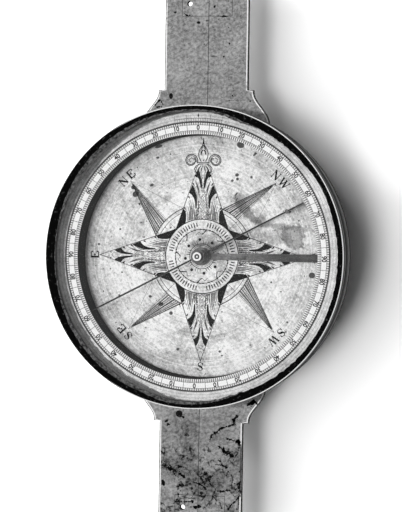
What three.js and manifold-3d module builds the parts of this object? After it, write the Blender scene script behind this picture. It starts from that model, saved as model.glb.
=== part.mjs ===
// Surveyor's compass: a round brass box on a flat limb plate with two arms, over a staff socket.
// Millimetres, +Z up, +Y along the north arm. The origin is the middle of the staff socket's mouth.

import * as THREE from 'three';
import { mergeVertices } from 'three/addons/utils/BufferGeometryUtils.js';
import Module from 'manifold-3d';

const wasm = await Module();
wasm.setup();

// Shared fits and facet counts
const clearance = 0.3;
const overrun = 1;
const ringSides = 60;
const bodySides = 32;
const smallSides = 18;
const screwSides = 12;
const curveSteps = 12;
const slotSteps = 6;
const weldTolerance = 0.0005;

// Limb plate
const limbLength = 368;
const limbWidth = 50.8;
const limbThickness = 3.2;
const limbChamfer = 0.4;
const limbDiscLedge = 0.2;
const limbCornerRadius = 1.2;
const shoulderStep = 3.5;
const shoulderFlare = 9.7;
const shoulderRise = 11;
const shoulderFlat = 1.2;
const shoulderUpperPull = 6;
const shoulderLowerPull = 7;

// Seats for the two sights at the ends of the arms
const seatPinAcross = 10.4;
const seatPinFromEnd = 33.6;
const seatPinHoleRadius = 1.5;
const seatScrewFromEnd = 17;
const seatScrewHoleRadius = 3.2;
const seatOuterPinFromEnd = 8;

// Spare hole beside the box on the south arm
const spareHoleAcross = 13.4;
const spareHoleFromDisc = 6.5;
const spareHoleRadius = 1.8;

// Compass box
const boxFloorThickness = 3;
const boxWallThickness = 4.2;
const boxFootStep = 1.2;
const boxFootHeight = 1.4;
const boxCoveHeight = 1.8;

// Face plate and the heights of the ring and the rim
const faceRadius = 71.7;
const faceThickness = 1.6;
const ringRise = 16.5;
const rimRise = 10;

// Land ring, fixed, and degree ring, which turns inside it
const landWidth = 7;
const landThickness = 2.4;
const degreeRingWidth = 7;
const degreeSkirtThickness = 2.4;
const degreeFootGap = 1.8;
const degreeFootThickness = 2.6;
const degreeRange = THREE.MathUtils.degToRad(10);

// Bezel ring, and its mouldings from the rim down, each with the plain band above it
const bezelSkirtThickness = 0.9;
const bezelRimStep = 1;
const bezelRimHeight = 1.6;
const bezelRimChamfer = 0.35;
const bezelLipThickness = 1.2;
const landLap = 1.3;
const beadSink = 0.25;
const highBandHeight = 1.8;
const highBeadRadius = 0.8;
const middleBandHeight = 3.9;
const middleBeadRadius = 0.9;
const grooveBandHeight = 2.6;
const grooveWidth = 1.2;
const grooveDepth = 0.6;
const lowBandHeight = 2.35;
const lowBeadRadius = 1.25;
const bezelFootFlat = 0.15;
const beadSteps = 3;

// Glass and its cement
const glassThickness = 2;
const cementThickness = 0.9;
const cementWidth = 2.7;

// Pivot pin and nut
const pivotRise = 13.4;
const pivotRadius = 0.9;
const pivotConeHeight = 2.6;
const pivotFlangeRadius = 4;
const pivotFlangeThickness = 1.2;
const pivotShankRadius = 2;
const pivotNutRadius = 5;
const pivotNutThickness = 2.4;
const pivotNutPlay = 1.4;
const hexSides = 6;

// Needle
const needleRingGap = 1.8;
const needleThickness = 0.9;
const needleDepth = 2.6;
const needleTipDepth = 1.7;
const needlePointLength = 6;
const needlePointThickness = 0.25;
const needleDrop = 2;
const needleEyeWall = 1.05;
const needleHeading = THREE.MathUtils.degToRad(27.9);
const needleDip = THREE.MathUtils.degToRad(5);

// Needle cap and jewel, measured from the pivot's point
const capShoulder = 0.25;
const capTopRise = 2;
const capRecessDepth = 0.6;
const capRecessRadius = 1.5;
const capFlangeStep = 1.05;
const capFlangeThickness = 0.7;
const capSkirtWall = 0.7;
const capCollarGap = 0.8;
const capBorePlay = 0.8;
const capBoreTopDrop = 1.2;
const capEdge = 0.3;
const jewelRadius = 0.85;
const jewelTopRise = 1.1;
const jewelBottomDrop = 0.9;
const jewelCupRadius = 0.55;

// Wound balance and the small rider on the needle
const wireRadius = 0.25;
const balanceTurns = 8;
const balancePitch = 1;
const balanceStart = 9;
const balancePlay = 0.45;
const balanceStepsPerTurn = 8;
const wireSides = 5;
const riderFromEnd = 11.2;
const riderLength = 1.6;
const riderWall = 0.4;

// Lifter
const lifterRise = 3;
const lifterThickness = 1;
const lifterEyeRadius = 5.4;
const lifterEyePlay = 1;
const lifterInnerWidth = 3.7;
const lifterOuterWidth = 4.9;
const lifterTailGap = 1.1;
const lifterBlockWidth = 6;
const lifterBlockLength = 5.6;
const lifterBlockGap = 1.2;
const anchorScrewRadius = 1.1;
const anchorHeadRadius = 2.1;
const anchorHeadHeight = 1.3;
const collarRadius = 5.2;
const collarThickness = 0.8;
const collarRimRadius = 3.2;
const collarRimHeight = 2.3;
const collarPlay = 0.6;
const lifterNotchMargin = THREE.MathUtils.degToRad(1.8);
const lifterNotchHeadroom = 1.2;

// Lifter screw and its bush, below the strip
const lifterScrewFromFlange = 10;
const lifterScrewRadius = 1.4;
const bushSleeveRadius = 3;
const bushFlangeRadius = 4.6;
const bushFlangeThickness = 1.5;

// Milled heads
const milledRadius = 6.5;
const milledHeight = 5;
const milledFluteDepth = 0.45;
const milledFlutes = 18;
const milledStepsPerFlute = 3;
const milledNeckRadius = 3.4;
const milledNeckHeight = 0.8;

// Ring clamp, in a curved slot
const clampRadius = 1.7;
const clampAzimuth = THREE.MathUtils.degToRad(225);
const clampWasherRadius = 6;
const clampWasherThickness = 1.2;

// Screws that hold the box to the limb plate
const boxScrewCount = 4;
const boxScrewInset = 9.7;
const boxScrewRadius = 1.9;
const boxScrewHeadRadius = 3.8;
const boxScrewHeadHeight = 1.8;
const boxScrewCover = 0.8;

// Staff socket
const socketHeight = 42;
const socketRoofThickness = 6;
const socketFlangeMargin = 2;
const socketFlangeThickness = 4;
const socketFlangeEdge = 0.8;
const socketNeckWall = 6.4;
const socketCoveHeight = 3;
const socketTailWall = 4;
const socketBandStep = 1.6;
const socketBandHeight = 5;
const socketBandEdge = 1;
const socketBoreMouthRadius = 11.4;
const socketBoreTaper = 1.2;
const socketScrewCount = 4;
const socketScrewGap = 1.6;
const socketScrewRadius = 1.9;
const socketScrewHeadRadius = 3.4;
const socketScrewHeadHeight = 2;
const screwSlotWidth = 0.9;
const screwSlotDepth = 0.8;

// Clamp screw of the staff socket
const socketClampHeight = 19;
const socketClampRadius = 2.1;
const socketBossRadius = 5.4;
const socketBossLength = 4.6;
const socketClampTipGap = 0.6;
const socketClampCollarRadius = 4.2;
const socketClampCollarLength = 2;
const wingHalfWidth = 8;
const wingLength = 13;
const wingThickness = 2.6;

// Heights that follow
const plateBottom = socketHeight;
const plateTop = plateBottom + limbThickness;
const floorTop = plateTop + boxFloorThickness;
const faceTop = floorTop + faceThickness;
const ringTop = faceTop + ringRise;
const rimTop = ringTop + rimRise;
const landBottom = ringTop - landThickness;
const glassTop = rimTop - cementThickness;
const glassBottom = glassTop - glassThickness;
const pivotTip = faceTop + pivotRise;
const lifterBottom = faceTop + lifterRise;
const lifterTop = lifterBottom + lifterThickness;
const collarBottom = lifterTop + clearance;
const collarTop = collarBottom + collarThickness + collarRimHeight;
const capSkirtDrop = pivotTip - collarTop - capCollarGap;
const highBeadHeight = rimTop - bezelRimHeight - highBandHeight - highBeadRadius;
const middleBeadHeight = highBeadHeight - highBeadRadius - middleBandHeight - middleBeadRadius;
const grooveHeight = middleBeadHeight - middleBeadRadius - grooveBandHeight - grooveWidth / 2;
const lowBeadHeight = grooveHeight - grooveWidth / 2 - lowBandHeight - lowBeadRadius;
const bezelBottom = lowBeadHeight - lowBeadRadius - bezelFootFlat;

// Radii that follow, from the face outwards
const degreeInnerRadius = faceRadius + clearance;
const degreeOuterRadius = degreeInnerRadius + degreeRingWidth;
const landInnerRadius = degreeOuterRadius + clearance;
const landOuterRadius = landInnerRadius + landWidth;
const boxWallOuterRadius = landOuterRadius + clearance;
const boxWallInnerRadius = boxWallOuterRadius - boxWallThickness;
const boxFootRadius = boxWallOuterRadius + boxFootStep;
const degreeFootRadius = boxWallInnerRadius - degreeFootGap;
const bezelSkirtRadius = boxWallOuterRadius + clearance;
const bezelBandRadius = bezelSkirtRadius + bezelSkirtThickness;
const bezelRimRadius = bezelBandRadius + bezelRimStep;
const bezelRebateRadius = bezelRimRadius - bezelLipThickness;
const bezelClearRadius = landOuterRadius - landLap;
const glassRadius = bezelRebateRadius - clearance;
const limbDiscRadius = boxFootRadius + limbDiscLedge;
const boxScrewCircleRadius = faceRadius - boxScrewInset;
const clampCircleRadius = (degreeInnerRadius + degreeSkirtThickness + degreeFootRadius) / 2;
const lifterAnchorReach = boxWallInnerRadius - lifterBlockGap - lifterBlockLength / 2;

// Radii that follow round the pivot and in the socket
const capBoreRadius = pivotRadius + capBorePlay;
const capSkirtRadius = capBoreRadius + capSkirtWall;
const capRadius = capSkirtRadius + capShoulder;
const capFlangeRadius = capRadius + capFlangeStep;
const needleEyeRadius = capRadius + clearance + needleEyeWall;
const needleHalfLength = degreeInnerRadius - needleRingGap;
const lifterEyeHoleRadius = pivotRadius + lifterEyePlay;
const collarHoleRadius = pivotRadius + collarPlay;
const socketBoreTopRadius = socketBoreMouthRadius - socketBoreTaper;
const socketTailRadius = socketBoreMouthRadius + socketTailWall;
const socketBandRadius = socketTailRadius + socketBandStep;
const socketNeckRadius = socketBoreTopRadius + socketNeckWall;
const socketScrewCircleRadius = socketNeckRadius + socketCoveHeight + socketScrewGap + socketScrewHeadRadius;
const socketFlangeRadius = socketScrewCircleRadius + socketScrewHeadRadius + socketFlangeMargin;
const socketBossReach = socketTailRadius + socketBossLength;
const lifterScrewReach = socketFlangeRadius + lifterScrewFromFlange;

const brass = { color: 0x8f8c86, roughness: 0.45, metalness: 0.9 };
const darkBrass = { color: 0x6f6c67, roughness: 0.5, metalness: 0.9 };
const silvered = { color: 0xc9c8c4, roughness: 0.45, metalness: 0.3 };
const steel = { color: 0x34353a, roughness: 0.4, metalness: 0.9 };
const agate = { color: 0x9a9690, roughness: 0.2, metalness: 0 };
const cement = { color: 0x0c0c0c, roughness: 0.8, metalness: 0 };
const clearGlass = { color: 0xe8eeee, roughness: 0.05, metalness: 0, transparent: true, opacity: 0.2 };

// A geometry as a closed solid: shared corners welded, empty faces dropped, faces pointing out.
function toSolid(geometry) {
  const bare = geometry.clone();
  bare.deleteAttribute('normal');
  bare.deleteAttribute('uv');
  const welded = mergeVertices(bare, weldTolerance);
  const places = welded.attributes.position;
  const faces = [];
  let volume = 0;
  const [a, b, c] = [new THREE.Vector3(), new THREE.Vector3(), new THREE.Vector3()];
  for (let i = 0; i < welded.index.count; i += 3) {
    const face = [welded.index.getX(i), welded.index.getX(i + 1), welded.index.getX(i + 2)];
    if (new Set(face).size < 3) continue;
    faces.push(face);
    a.fromBufferAttribute(places, face[0]);
    b.fromBufferAttribute(places, face[1]);
    c.fromBufferAttribute(places, face[2]);
    volume += a.dot(b.cross(c));
  }
  if (volume < 0) faces.forEach((face) => face.reverse());
  return new wasm.Manifold(new wasm.Mesh({
    numProp: 3,
    vertProperties: new Float32Array(places.array),
    triVerts: new Uint32Array(faces.flat()),
  }));
}

// A named mesh of a solid.
function part(name, solid, look) {
  const { vertProperties, triVerts } = solid.getMesh();
  const geometry = new THREE.BufferGeometry();
  geometry.setAttribute('position', new THREE.BufferAttribute(new Float32Array(vertProperties), 3));
  geometry.setIndex(new THREE.BufferAttribute(new Uint32Array(triVerts), 1));
  const mesh = new THREE.Mesh(geometry.toNonIndexed(), new THREE.MeshStandardMaterial(look));
  mesh.geometry.computeVertexNormals();
  mesh.name = name;
  return mesh;
}

// A profile of [radius, height] pairs, closed on itself, turned round the Z axis.
function turned(profile, sides = ringSides) {
  const points = [...profile, profile[0]].map(([radius, height]) => new THREE.Vector2(radius, height));
  return new THREE.LatheGeometry(points, sides).rotateX(Math.PI / 2);
}

// A plain disc or rod round the Z axis, standing on height `bottom`.
function rod(radius, bottom, top, sides = smallSides) {
  return turned([[0, bottom], [radius, bottom], [radius, top], [0, top]], sides);
}

// An outline raised from height `bottom` to `top`.
function raised(shape, bottom, top, steps = curveSteps) {
  const geometry = new THREE.ExtrudeGeometry(shape, {
    depth: top - bottom,
    bevelEnabled: false,
    curveSegments: steps,
  });
  return geometry.translate(0, 0, bottom);
}

// The place at a radius and an angle from +X, on a circle round the Z axis.
function polar(radius, angle) {
  return [radius * Math.cos(angle), radius * Math.sin(angle)];
}

// Subtracts each geometry from a solid.
function cutFrom(solid, ...tools) {
  return tools.reduce((rest, tool) => rest.subtract(toSolid(tool)), solid);
}

// A curved slot: a sector of a ring with round ends, centred on an azimuth.
function curvedSlot(middleRadius, halfWidth, azimuth, halfAngle) {
  const shape = new THREE.Shape();
  const [startX, startY] = polar(middleRadius, azimuth - halfAngle);
  const [endX, endY] = polar(middleRadius, azimuth + halfAngle);
  shape.absarc(0, 0, middleRadius + halfWidth, azimuth - halfAngle, azimuth + halfAngle, false);
  shape.absarc(endX, endY, halfWidth, azimuth + halfAngle, azimuth + halfAngle + Math.PI, false);
  shape.absarc(0, 0, middleRadius - halfWidth, azimuth + halfAngle, azimuth - halfAngle, true);
  shape.absarc(startX, startY, halfWidth, azimuth - halfAngle + Math.PI, azimuth - halfAngle + 2 * Math.PI);
  return shape;
}

// Angles of a set of screws spread evenly, the first half a step from +X.
function spreadAngles(count) {
  return Array.from({ length: count }, (_, i) => (i + 0.5) * 2 * Math.PI / count);
}

// Limb plate: two arms, the square step and ogee of each shoulder, and the disc under the box.
function limbOutline() {
  const armX = limbWidth / 2;
  const endY = limbLength / 2;
  const stepX = armX + shoulderStep;
  const footX = stepX + shoulderFlare;
  const shoulderReach = limbDiscRadius + shoulderRise;
  const footY = Math.sqrt(limbDiscRadius ** 2 - footX ** 2);
  const footAngle = Math.atan2(footY, footX);
  const curveTop = shoulderReach - shoulderFlat;
  const shape = new THREE.Shape();
  shape.moveTo(armX, shoulderReach);
  for (const side of [1, -1]) {
    shape.lineTo(side * armX, side * (endY - limbCornerRadius));
    shape.lineTo(side * (armX - limbCornerRadius), side * endY);
    shape.lineTo(-side * (armX - limbCornerRadius), side * endY);
    shape.lineTo(-side * armX, side * (endY - limbCornerRadius));
    shape.lineTo(-side * armX, side * shoulderReach);
    shape.lineTo(-side * stepX, side * shoulderReach);
    shape.lineTo(-side * stepX, side * curveTop);
    shape.bezierCurveTo(
      -side * stepX, side * (curveTop - shoulderUpperPull),
      -side * footX, side * (footY + shoulderLowerPull),
      -side * footX, side * footY,
    );
    const start = side > 0 ? Math.PI - footAngle : -footAngle;
    shape.absarc(0, 0, limbDiscRadius, start, start + 2 * footAngle, false);
    shape.bezierCurveTo(
      -side * footX, -side * (footY + shoulderLowerPull),
      -side * stepX, -side * (curveTop - shoulderUpperPull),
      -side * stepX, -side * curveTop,
    );
    shape.lineTo(-side * stepX, -side * shoulderReach);
    shape.lineTo(-side * armX, -side * shoulderReach);
  }
  return shape;
}

// A countersunk screw hole or head: a rod with a cone that opens downwards.
function countersunk(radius, headRadius, headHeight, bottom, top, gap) {
  return turned([
    [0, bottom],
    [headRadius + gap, bottom],
    [radius + gap, bottom + headHeight],
    [radius + gap, top],
    [0, top],
  ], screwSides);
}

function limbPlate() {
  const plate = new THREE.ExtrudeGeometry(limbOutline(), {
    depth: limbThickness - 2 * limbChamfer,
    curveSegments: curveSteps,
    bevelThickness: limbChamfer,
    bevelSize: limbChamfer,
    bevelOffset: -limbChamfer,
    bevelSegments: 1,
  }).translate(0, 0, plateBottom + limbChamfer);
  const holes = [rod(pivotNutRadius + pivotNutPlay, plateBottom - overrun, plateTop + overrun)];
  const drill = (radius, x, y) => {
    const hole = rod(radius, plateBottom - overrun, plateTop + overrun, screwSides);
    holes.push(hole.translate(x, y, 0));
  };
  for (const side of [1, -1]) {
    const endY = limbLength / 2;
    drill(seatPinHoleRadius, -seatPinAcross, side * (endY - seatPinFromEnd));
    drill(seatScrewHoleRadius, 0, side * (endY - seatScrewFromEnd));
    drill(seatPinHoleRadius, seatPinAcross, side * (endY - seatOuterPinFromEnd));
  }
  drill(spareHoleRadius, -spareHoleAcross, -limbDiscRadius - spareHoleFromDisc);
  drill(bushSleeveRadius + clearance, lifterScrewReach, 0);
  for (const angle of spreadAngles(socketScrewCount)) {
    drill(socketScrewRadius + clearance, ...polar(socketScrewCircleRadius, angle));
  }
  for (const angle of spreadAngles(boxScrewCount)) {
    const [x, y] = polar(boxScrewCircleRadius, angle);
    const hole = countersunk(
      boxScrewRadius, boxScrewHeadRadius, boxScrewHeadHeight, plateBottom, plateTop + overrun, clearance,
    );
    holes.push(hole.translate(x, y, 0));
  }
  holes.push(raised(clampSlot(), plateBottom - overrun, plateTop + overrun, slotSteps));
  return part('limb_plate', cutFrom(toSolid(plate), ...holes), brass);
}

// The slot that the ring clamp travels in, through the limb plate and the box's floor.
function clampSlot() {
  const halfAngle = degreeRange + clearance / clampCircleRadius;
  return curvedSlot(clampCircleRadius, clampRadius + clearance, clampAzimuth, halfAngle);
}

// The height of the tips of the screws that hold the box, inside its floor.
function boxScrewTip() {
  return floorTop - boxScrewCover;
}

// Compass box: floor and lower wall in one turning, with a small foot and a cove.
function compassBox() {
  const wall = toSolid(turned([
    [pivotShankRadius + clearance, plateTop],
    [boxFootRadius, plateTop],
    [boxFootRadius, plateTop + boxFootHeight],
    [boxWallOuterRadius, plateTop + boxFootHeight + boxCoveHeight],
    [boxWallOuterRadius, landBottom],
    [boxWallInnerRadius, landBottom],
    [boxWallInnerRadius, floorTop],
    [pivotShankRadius + clearance, floorTop],
  ]));
  const holes = spreadAngles(boxScrewCount).map((angle) => {
    const [x, y] = polar(boxScrewCircleRadius, angle);
    return rod(boxScrewRadius + clearance, plateTop - overrun, boxScrewTip() + clearance, screwSides)
      .translate(x, y, 0);
  });
  holes.push(rod(lifterScrewRadius + clearance, plateTop - overrun, floorTop + overrun, screwSides)
    .translate(lifterScrewReach, 0, 0));
  holes.push(raised(clampSlot(), plateTop - overrun, floorTop + overrun, slotSteps));
  return part('compass_box', cutFrom(wall, ...holes), brass);
}

// Points of a half-round bead on the outside of the bezel, from its lower edge to its upper one.
function bead(height, radius) {
  return Array.from({ length: beadSteps + 1 }, (_, i) => {
    const angle = Math.PI * (i / beadSteps - 0.5);
    return [bezelBandRadius - beadSink + radius * Math.cos(angle), height + radius * Math.sin(angle)];
  });
}

// Bezel ring: mouldings outside, a rebate for the glass inside, and a skirt over the box's wall.
function bezelRing() {
  return part('bezel_ring', toSolid(turned([
    [bezelSkirtRadius, bezelBottom],
    ...bead(lowBeadHeight, lowBeadRadius),
    [bezelBandRadius, grooveHeight - grooveWidth / 2],
    [bezelBandRadius - grooveDepth, grooveHeight],
    [bezelBandRadius, grooveHeight + grooveWidth / 2],
    ...bead(middleBeadHeight, middleBeadRadius),
    ...bead(highBeadHeight, highBeadRadius),
    [bezelRimRadius, rimTop - bezelRimHeight],
    [bezelRimRadius, rimTop - bezelRimChamfer],
    [bezelRimRadius - bezelRimChamfer, rimTop],
    [bezelRebateRadius, rimTop],
    [bezelRebateRadius, glassBottom],
    [bezelClearRadius, glassBottom],
    [bezelClearRadius, ringTop],
    [bezelSkirtRadius, ringTop],
  ])), brass);
}

function landRing() {
  return part('land_ring', toSolid(turned([
    [landInnerRadius, landBottom],
    [landOuterRadius, landBottom],
    [landOuterRadius, ringTop],
    [landInnerRadius, ringTop],
  ])), silvered);
}

// Degree ring: a divided top flange, an inner skirt and a foot, notched where the lifter passes under it.
function degreeRing() {
  const footBottom = floorTop + clearance;
  const footTop = footBottom + degreeFootThickness;
  const flangeBottom = ringTop - landThickness;
  const skirtRadius = degreeInnerRadius + degreeSkirtThickness;
  const ring = toSolid(turned([
    [degreeInnerRadius, footBottom],
    [degreeFootRadius, footBottom],
    [degreeFootRadius, footTop],
    [skirtRadius, footTop],
    [skirtRadius, flangeBottom],
    [degreeOuterRadius, flangeBottom],
    [degreeOuterRadius, ringTop],
    [degreeInnerRadius, ringTop],
  ]));
  const halfNotch = degreeRange + lifterBlockWidth / 2 / degreeInnerRadius + lifterNotchMargin;
  const notch = new THREE.Shape();
  notch.absarc(0, 0, degreeInnerRadius - overrun, -halfNotch, halfNotch, false);
  notch.absarc(0, 0, degreeFootRadius + overrun, halfNotch, -halfNotch, true);
  const [x, y] = polar(clampCircleRadius, clampAzimuth);
  return part('degree_ring', cutFrom(
    ring,
    raised(notch, footBottom - overrun, lifterTop + lifterNotchHeadroom),
    rod(clampRadius + clearance, footBottom - overrun, footTop + overrun, screwSides).translate(x, y, 0),
  ), silvered);
}

function facePlate() {
  return part('face_plate', cutFrom(
    toSolid(turned([
      [pivotShankRadius + clearance, floorTop],
      [faceRadius, floorTop],
      [faceRadius, faceTop],
      [pivotShankRadius + clearance, faceTop],
    ])),
    rod(lifterScrewRadius + clearance, floorTop - overrun, faceTop + overrun, screwSides)
      .translate(lifterScrewReach, 0, 0),
  ), silvered);
}

// Pivot pin: a steel point on a flange, with a shank down to its nut.
function pivotPin() {
  return part('pivot_pin', toSolid(turned([
    [0, plateTop - pivotNutThickness],
    [pivotShankRadius, plateTop - pivotNutThickness],
    [pivotShankRadius, faceTop],
    [pivotFlangeRadius, faceTop],
    [pivotFlangeRadius, faceTop + pivotFlangeThickness],
    [pivotRadius, faceTop + pivotFlangeThickness],
    [pivotRadius, pivotTip - pivotConeHeight],
    [0, pivotTip],
  ], smallSides)), steel);
}

function pivotNut() {
  return part('pivot_nut', cutFrom(
    toSolid(rod(pivotNutRadius, plateTop - pivotNutThickness, plateTop, hexSides)),
    rod(pivotShankRadius + clearance, plateTop - pivotNutThickness - overrun, plateTop + overrun),
  ), brass);
}

function glass() {
  return part('glass', toSolid(rod(glassRadius, glassBottom, glassTop, ringSides)), clearGlass);
}

function cementRing() {
  const outerRadius = bezelRebateRadius - clearance;
  return part('cement_ring', toSolid(turned([
    [outerRadius - cementWidth, glassTop],
    [outerRadius, glassTop],
    [outerRadius, rimTop],
    [outerRadius - cementWidth, rimTop],
  ])), cement);
}

// Needle blade: a bar on edge, pointed at its north end, with an eye that sits on the cap's flange.
function needleBlade() {
  const half = needleThickness / 2;
  const plan = new THREE.Shape();
  plan.moveTo(-needleHalfLength, -needlePointThickness / 2);
  plan.lineTo(-needleHalfLength + needlePointLength, -half);
  plan.lineTo(needleHalfLength - half, -half);
  plan.absarc(needleHalfLength - half, 0, half, -Math.PI / 2, Math.PI / 2, false);
  plan.lineTo(-needleHalfLength + needlePointLength, half);
  plan.lineTo(-needleHalfLength, needlePointThickness / 2);
  const top = needleDepth / 2 - needleDrop;
  const bottom = -needleDepth / 2 - needleDrop;
  const tipRise = (needleDepth - needleTipDepth) / 2;
  const side = new THREE.Shape();
  side.moveTo(-needleHalfLength - overrun, bottom + tipRise);
  side.lineTo(-needleEyeRadius, bottom);
  side.lineTo(needleEyeRadius, bottom);
  side.lineTo(needleHalfLength + overrun, bottom + tipRise);
  side.lineTo(needleHalfLength + overrun, top - tipRise);
  side.lineTo(needleEyeRadius, top);
  side.lineTo(-needleEyeRadius, top);
  side.lineTo(-needleHalfLength - overrun, top - tipRise);
  const flank = raised(side, -needleEyeRadius - overrun, needleEyeRadius + overrun).rotateX(Math.PI / 2);
  const bar = toSolid(raised(plan, bottom - overrun, top + overrun, screwSides / 2));
  const eye = toSolid(rod(needleEyeRadius, bottom - overrun, top + overrun));
  const blade = bar.add(eye).intersect(toSolid(flank));
  const capHole = rod(capRadius + clearance, bottom - overrun, top + overrun);
  return part('needle_blade', cutFrom(blade, capHole), steel);
}

// Needle cap: a turned brass hub with a flange under the blade, bored for the pivot and the jewel.
function needleCap() {
  const flangeTop = -needleDrop - needleDepth / 2 - clearance;
  const flangeBottom = flangeTop - capFlangeThickness;
  const jewelBore = jewelRadius + clearance;
  return part('needle_cap', toSolid(turned([
    [capBoreRadius, -capSkirtDrop],
    [capSkirtRadius, -capSkirtDrop],
    [capSkirtRadius, flangeBottom],
    [capFlangeRadius, flangeBottom],
    [capFlangeRadius, flangeTop],
    [capRadius, flangeTop],
    [capRadius, capTopRise - capEdge],
    [capRadius - capEdge, capTopRise],
    [capRecessRadius, capTopRise],
    [capRecessRadius, capTopRise - capRecessDepth],
    [jewelBore, capTopRise - capRecessDepth],
    [jewelBore, -capBoreTopDrop],
    [capBoreRadius, -capBoreTopDrop],
  ], smallSides)), brass);
}

// Jewel: a small agate with a cone cut in its underside, over the pivot's point.
function needleJewel() {
  return part('needle_jewel', toSolid(turned([
    [0, clearance],
    [jewelCupRadius, -jewelBottomDrop],
    [jewelRadius, -jewelBottomDrop],
    [jewelRadius, jewelTopRise - capEdge],
    [jewelRadius - capEdge, jewelTopRise],
    [0, jewelTopRise],
  ], screwSides)), agate);
}

// Wire of the balance: an oval helix round the blade.
class BalanceCurve extends THREE.Curve {
  getPoint(t, target = new THREE.Vector3()) {
    const angle = 2 * Math.PI * balanceTurns * t;
    const halfWidth = needleThickness / 2 + balancePlay + wireRadius;
    const halfHeight = needleDepth / 2 + balancePlay + wireRadius;
    return target.set(
      balanceStart + balancePitch * balanceTurns * t,
      halfWidth * Math.cos(angle),
      halfHeight * Math.sin(angle) - needleDrop,
    );
  }
}

// The least gap between one turn of a wire and the next, measured on points of the curve.
function leastGap(curve, wireDiameter, turns, stepsPerTurn) {
  const points = curve.getPoints(turns * stepsPerTurn);
  let least = Infinity;
  points.forEach((point, i) => {
    for (let j = i + Math.ceil(stepsPerTurn / 2); j < points.length; j += 1) {
      least = Math.min(least, point.distanceTo(points[j]) - wireDiameter);
    }
  });
  return least;
}

function needleBalance() {
  const curve = new BalanceCurve();
  const section = new THREE.Shape();
  for (let i = 0; i < wireSides; i += 1) {
    const [x, y] = polar(wireRadius, i * 2 * Math.PI / wireSides);
    if (i === 0) section.moveTo(x, y);
    else section.lineTo(x, y);
  }
  const wire = new THREE.ExtrudeGeometry(section, {
    steps: balanceTurns * balanceStepsPerTurn,
    extrudePath: curve,
  });
  const gap = leastGap(curve, 2 * wireRadius, balanceTurns, balanceStepsPerTurn);
  console.log(`needle_balance: least gap between turns ${gap.toFixed(2)} mm`);
  return part('needle_balance', toSolid(wire), brass);
}

function needleRider() {
  const boreWidth = needleThickness + 2 * clearance;
  const boreHeight = needleDepth + 2 * clearance;
  const sleeve = new THREE.BoxGeometry(riderLength, boreWidth + 2 * riderWall, boreHeight + 2 * riderWall);
  const bore = new THREE.BoxGeometry(riderLength + overrun, boreWidth, boreHeight);
  const reach = needleHalfLength - riderFromEnd;
  return part('needle_rider', cutFrom(
    toSolid(sleeve.translate(reach, 0, -needleDrop)),
    bore.translate(reach, 0, -needleDrop),
  ), brass);
}

// Lifter spring: a strip from its anchor under the ring to an eye round the pivot.
function lifterSpring() {
  const tailX = boxWallInnerRadius - lifterTailGap;
  const strip = new THREE.Shape();
  strip.moveTo(0, -lifterInnerWidth / 2);
  strip.lineTo(tailX, -lifterOuterWidth / 2);
  strip.lineTo(tailX, lifterOuterWidth / 2);
  strip.lineTo(0, lifterInnerWidth / 2);
  const eye = toSolid(rod(lifterEyeRadius, lifterBottom, lifterTop));
  const hole = (radius, sides) => rod(radius, lifterBottom - overrun, lifterTop + overrun, sides);
  return part('lifter_spring', cutFrom(
    toSolid(raised(strip, lifterBottom, lifterTop)).add(eye),
    hole(lifterEyeHoleRadius, smallSides),
    hole(anchorScrewRadius + clearance, screwSides).translate(lifterAnchorReach, 0, 0),
  ), darkBrass);
}

// Collar that rests on the strip's eye and raises the needle by its cap.
function lifterCollar() {
  return part('lifter_collar', toSolid(turned([
    [collarHoleRadius, collarBottom],
    [collarRadius, collarBottom],
    [collarRadius, collarBottom + collarThickness],
    [collarRimRadius, collarBottom + collarThickness],
    [collarRimRadius, collarTop],
    [collarHoleRadius, collarTop],
  ], smallSides)), darkBrass);
}

function lifterBlock() {
  const top = lifterBottom - clearance;
  const block = new THREE.BoxGeometry(lifterBlockLength, lifterBlockWidth, top - floorTop);
  const hole = rod(anchorScrewRadius + clearance, floorTop - overrun, top + overrun, screwSides);
  return part('lifter_block', cutFrom(
    toSolid(block.translate(lifterAnchorReach, 0, (top + floorTop) / 2)),
    hole.translate(lifterAnchorReach, 0, 0),
  ), brass);
}

// A straight driver slot across the face of a screw's head, at height `face`.
function driverSlot(length, face) {
  return new THREE.BoxGeometry(length + overrun, screwSlotWidth, 2 * screwSlotDepth).translate(0, 0, face);
}

function lifterAnchorScrew() {
  const seat = lifterTop + clearance;
  const tip = floorTop + clearance;
  const screw = turned([
    [0, tip],
    [anchorScrewRadius, tip],
    [anchorScrewRadius, seat],
    [anchorHeadRadius, seat],
    [anchorHeadRadius, seat + anchorHeadHeight],
    [0, seat + anchorHeadHeight],
  ], screwSides).translate(lifterAnchorReach, 0, 0);
  const slot = driverSlot(2 * anchorHeadRadius, seat + anchorHeadHeight).translate(lifterAnchorReach, 0, 0);
  return part('lifter_anchor_screw', cutFrom(toSolid(screw), slot), steel);
}

// A screw with a milled head below it: the head's top is at `seat`, the shank's tip at `tip`.
function milledScrew(shankRadius, seat, tip) {
  const shape = new THREE.Shape();
  const steps = milledFlutes * milledStepsPerFlute;
  for (let i = 0; i < steps; i += 1) {
    const angle = 2 * Math.PI * i / steps;
    const radius = milledRadius - milledFluteDepth * (1 + Math.cos(milledFlutes * angle)) / 2;
    const [x, y] = polar(radius, angle);
    if (i === 0) shape.moveTo(x, y);
    else shape.lineTo(x, y);
  }
  const head = toSolid(raised(shape, seat - milledNeckHeight - milledHeight, seat - milledNeckHeight));
  const neck = toSolid(rod(milledNeckRadius, seat - milledNeckHeight - milledHeight / 2, seat));
  const shank = toSolid(rod(shankRadius, seat - milledHeight / 2, tip, screwSides));
  return head.add(neck).add(shank);
}

function lifterScrew() {
  const seat = plateBottom - bushFlangeThickness - clearance;
  const mesh = part('lifter_screw', milledScrew(lifterScrewRadius, seat, lifterBottom - clearance), brass);
  mesh.position.x = lifterScrewReach;
  return mesh;
}

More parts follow.
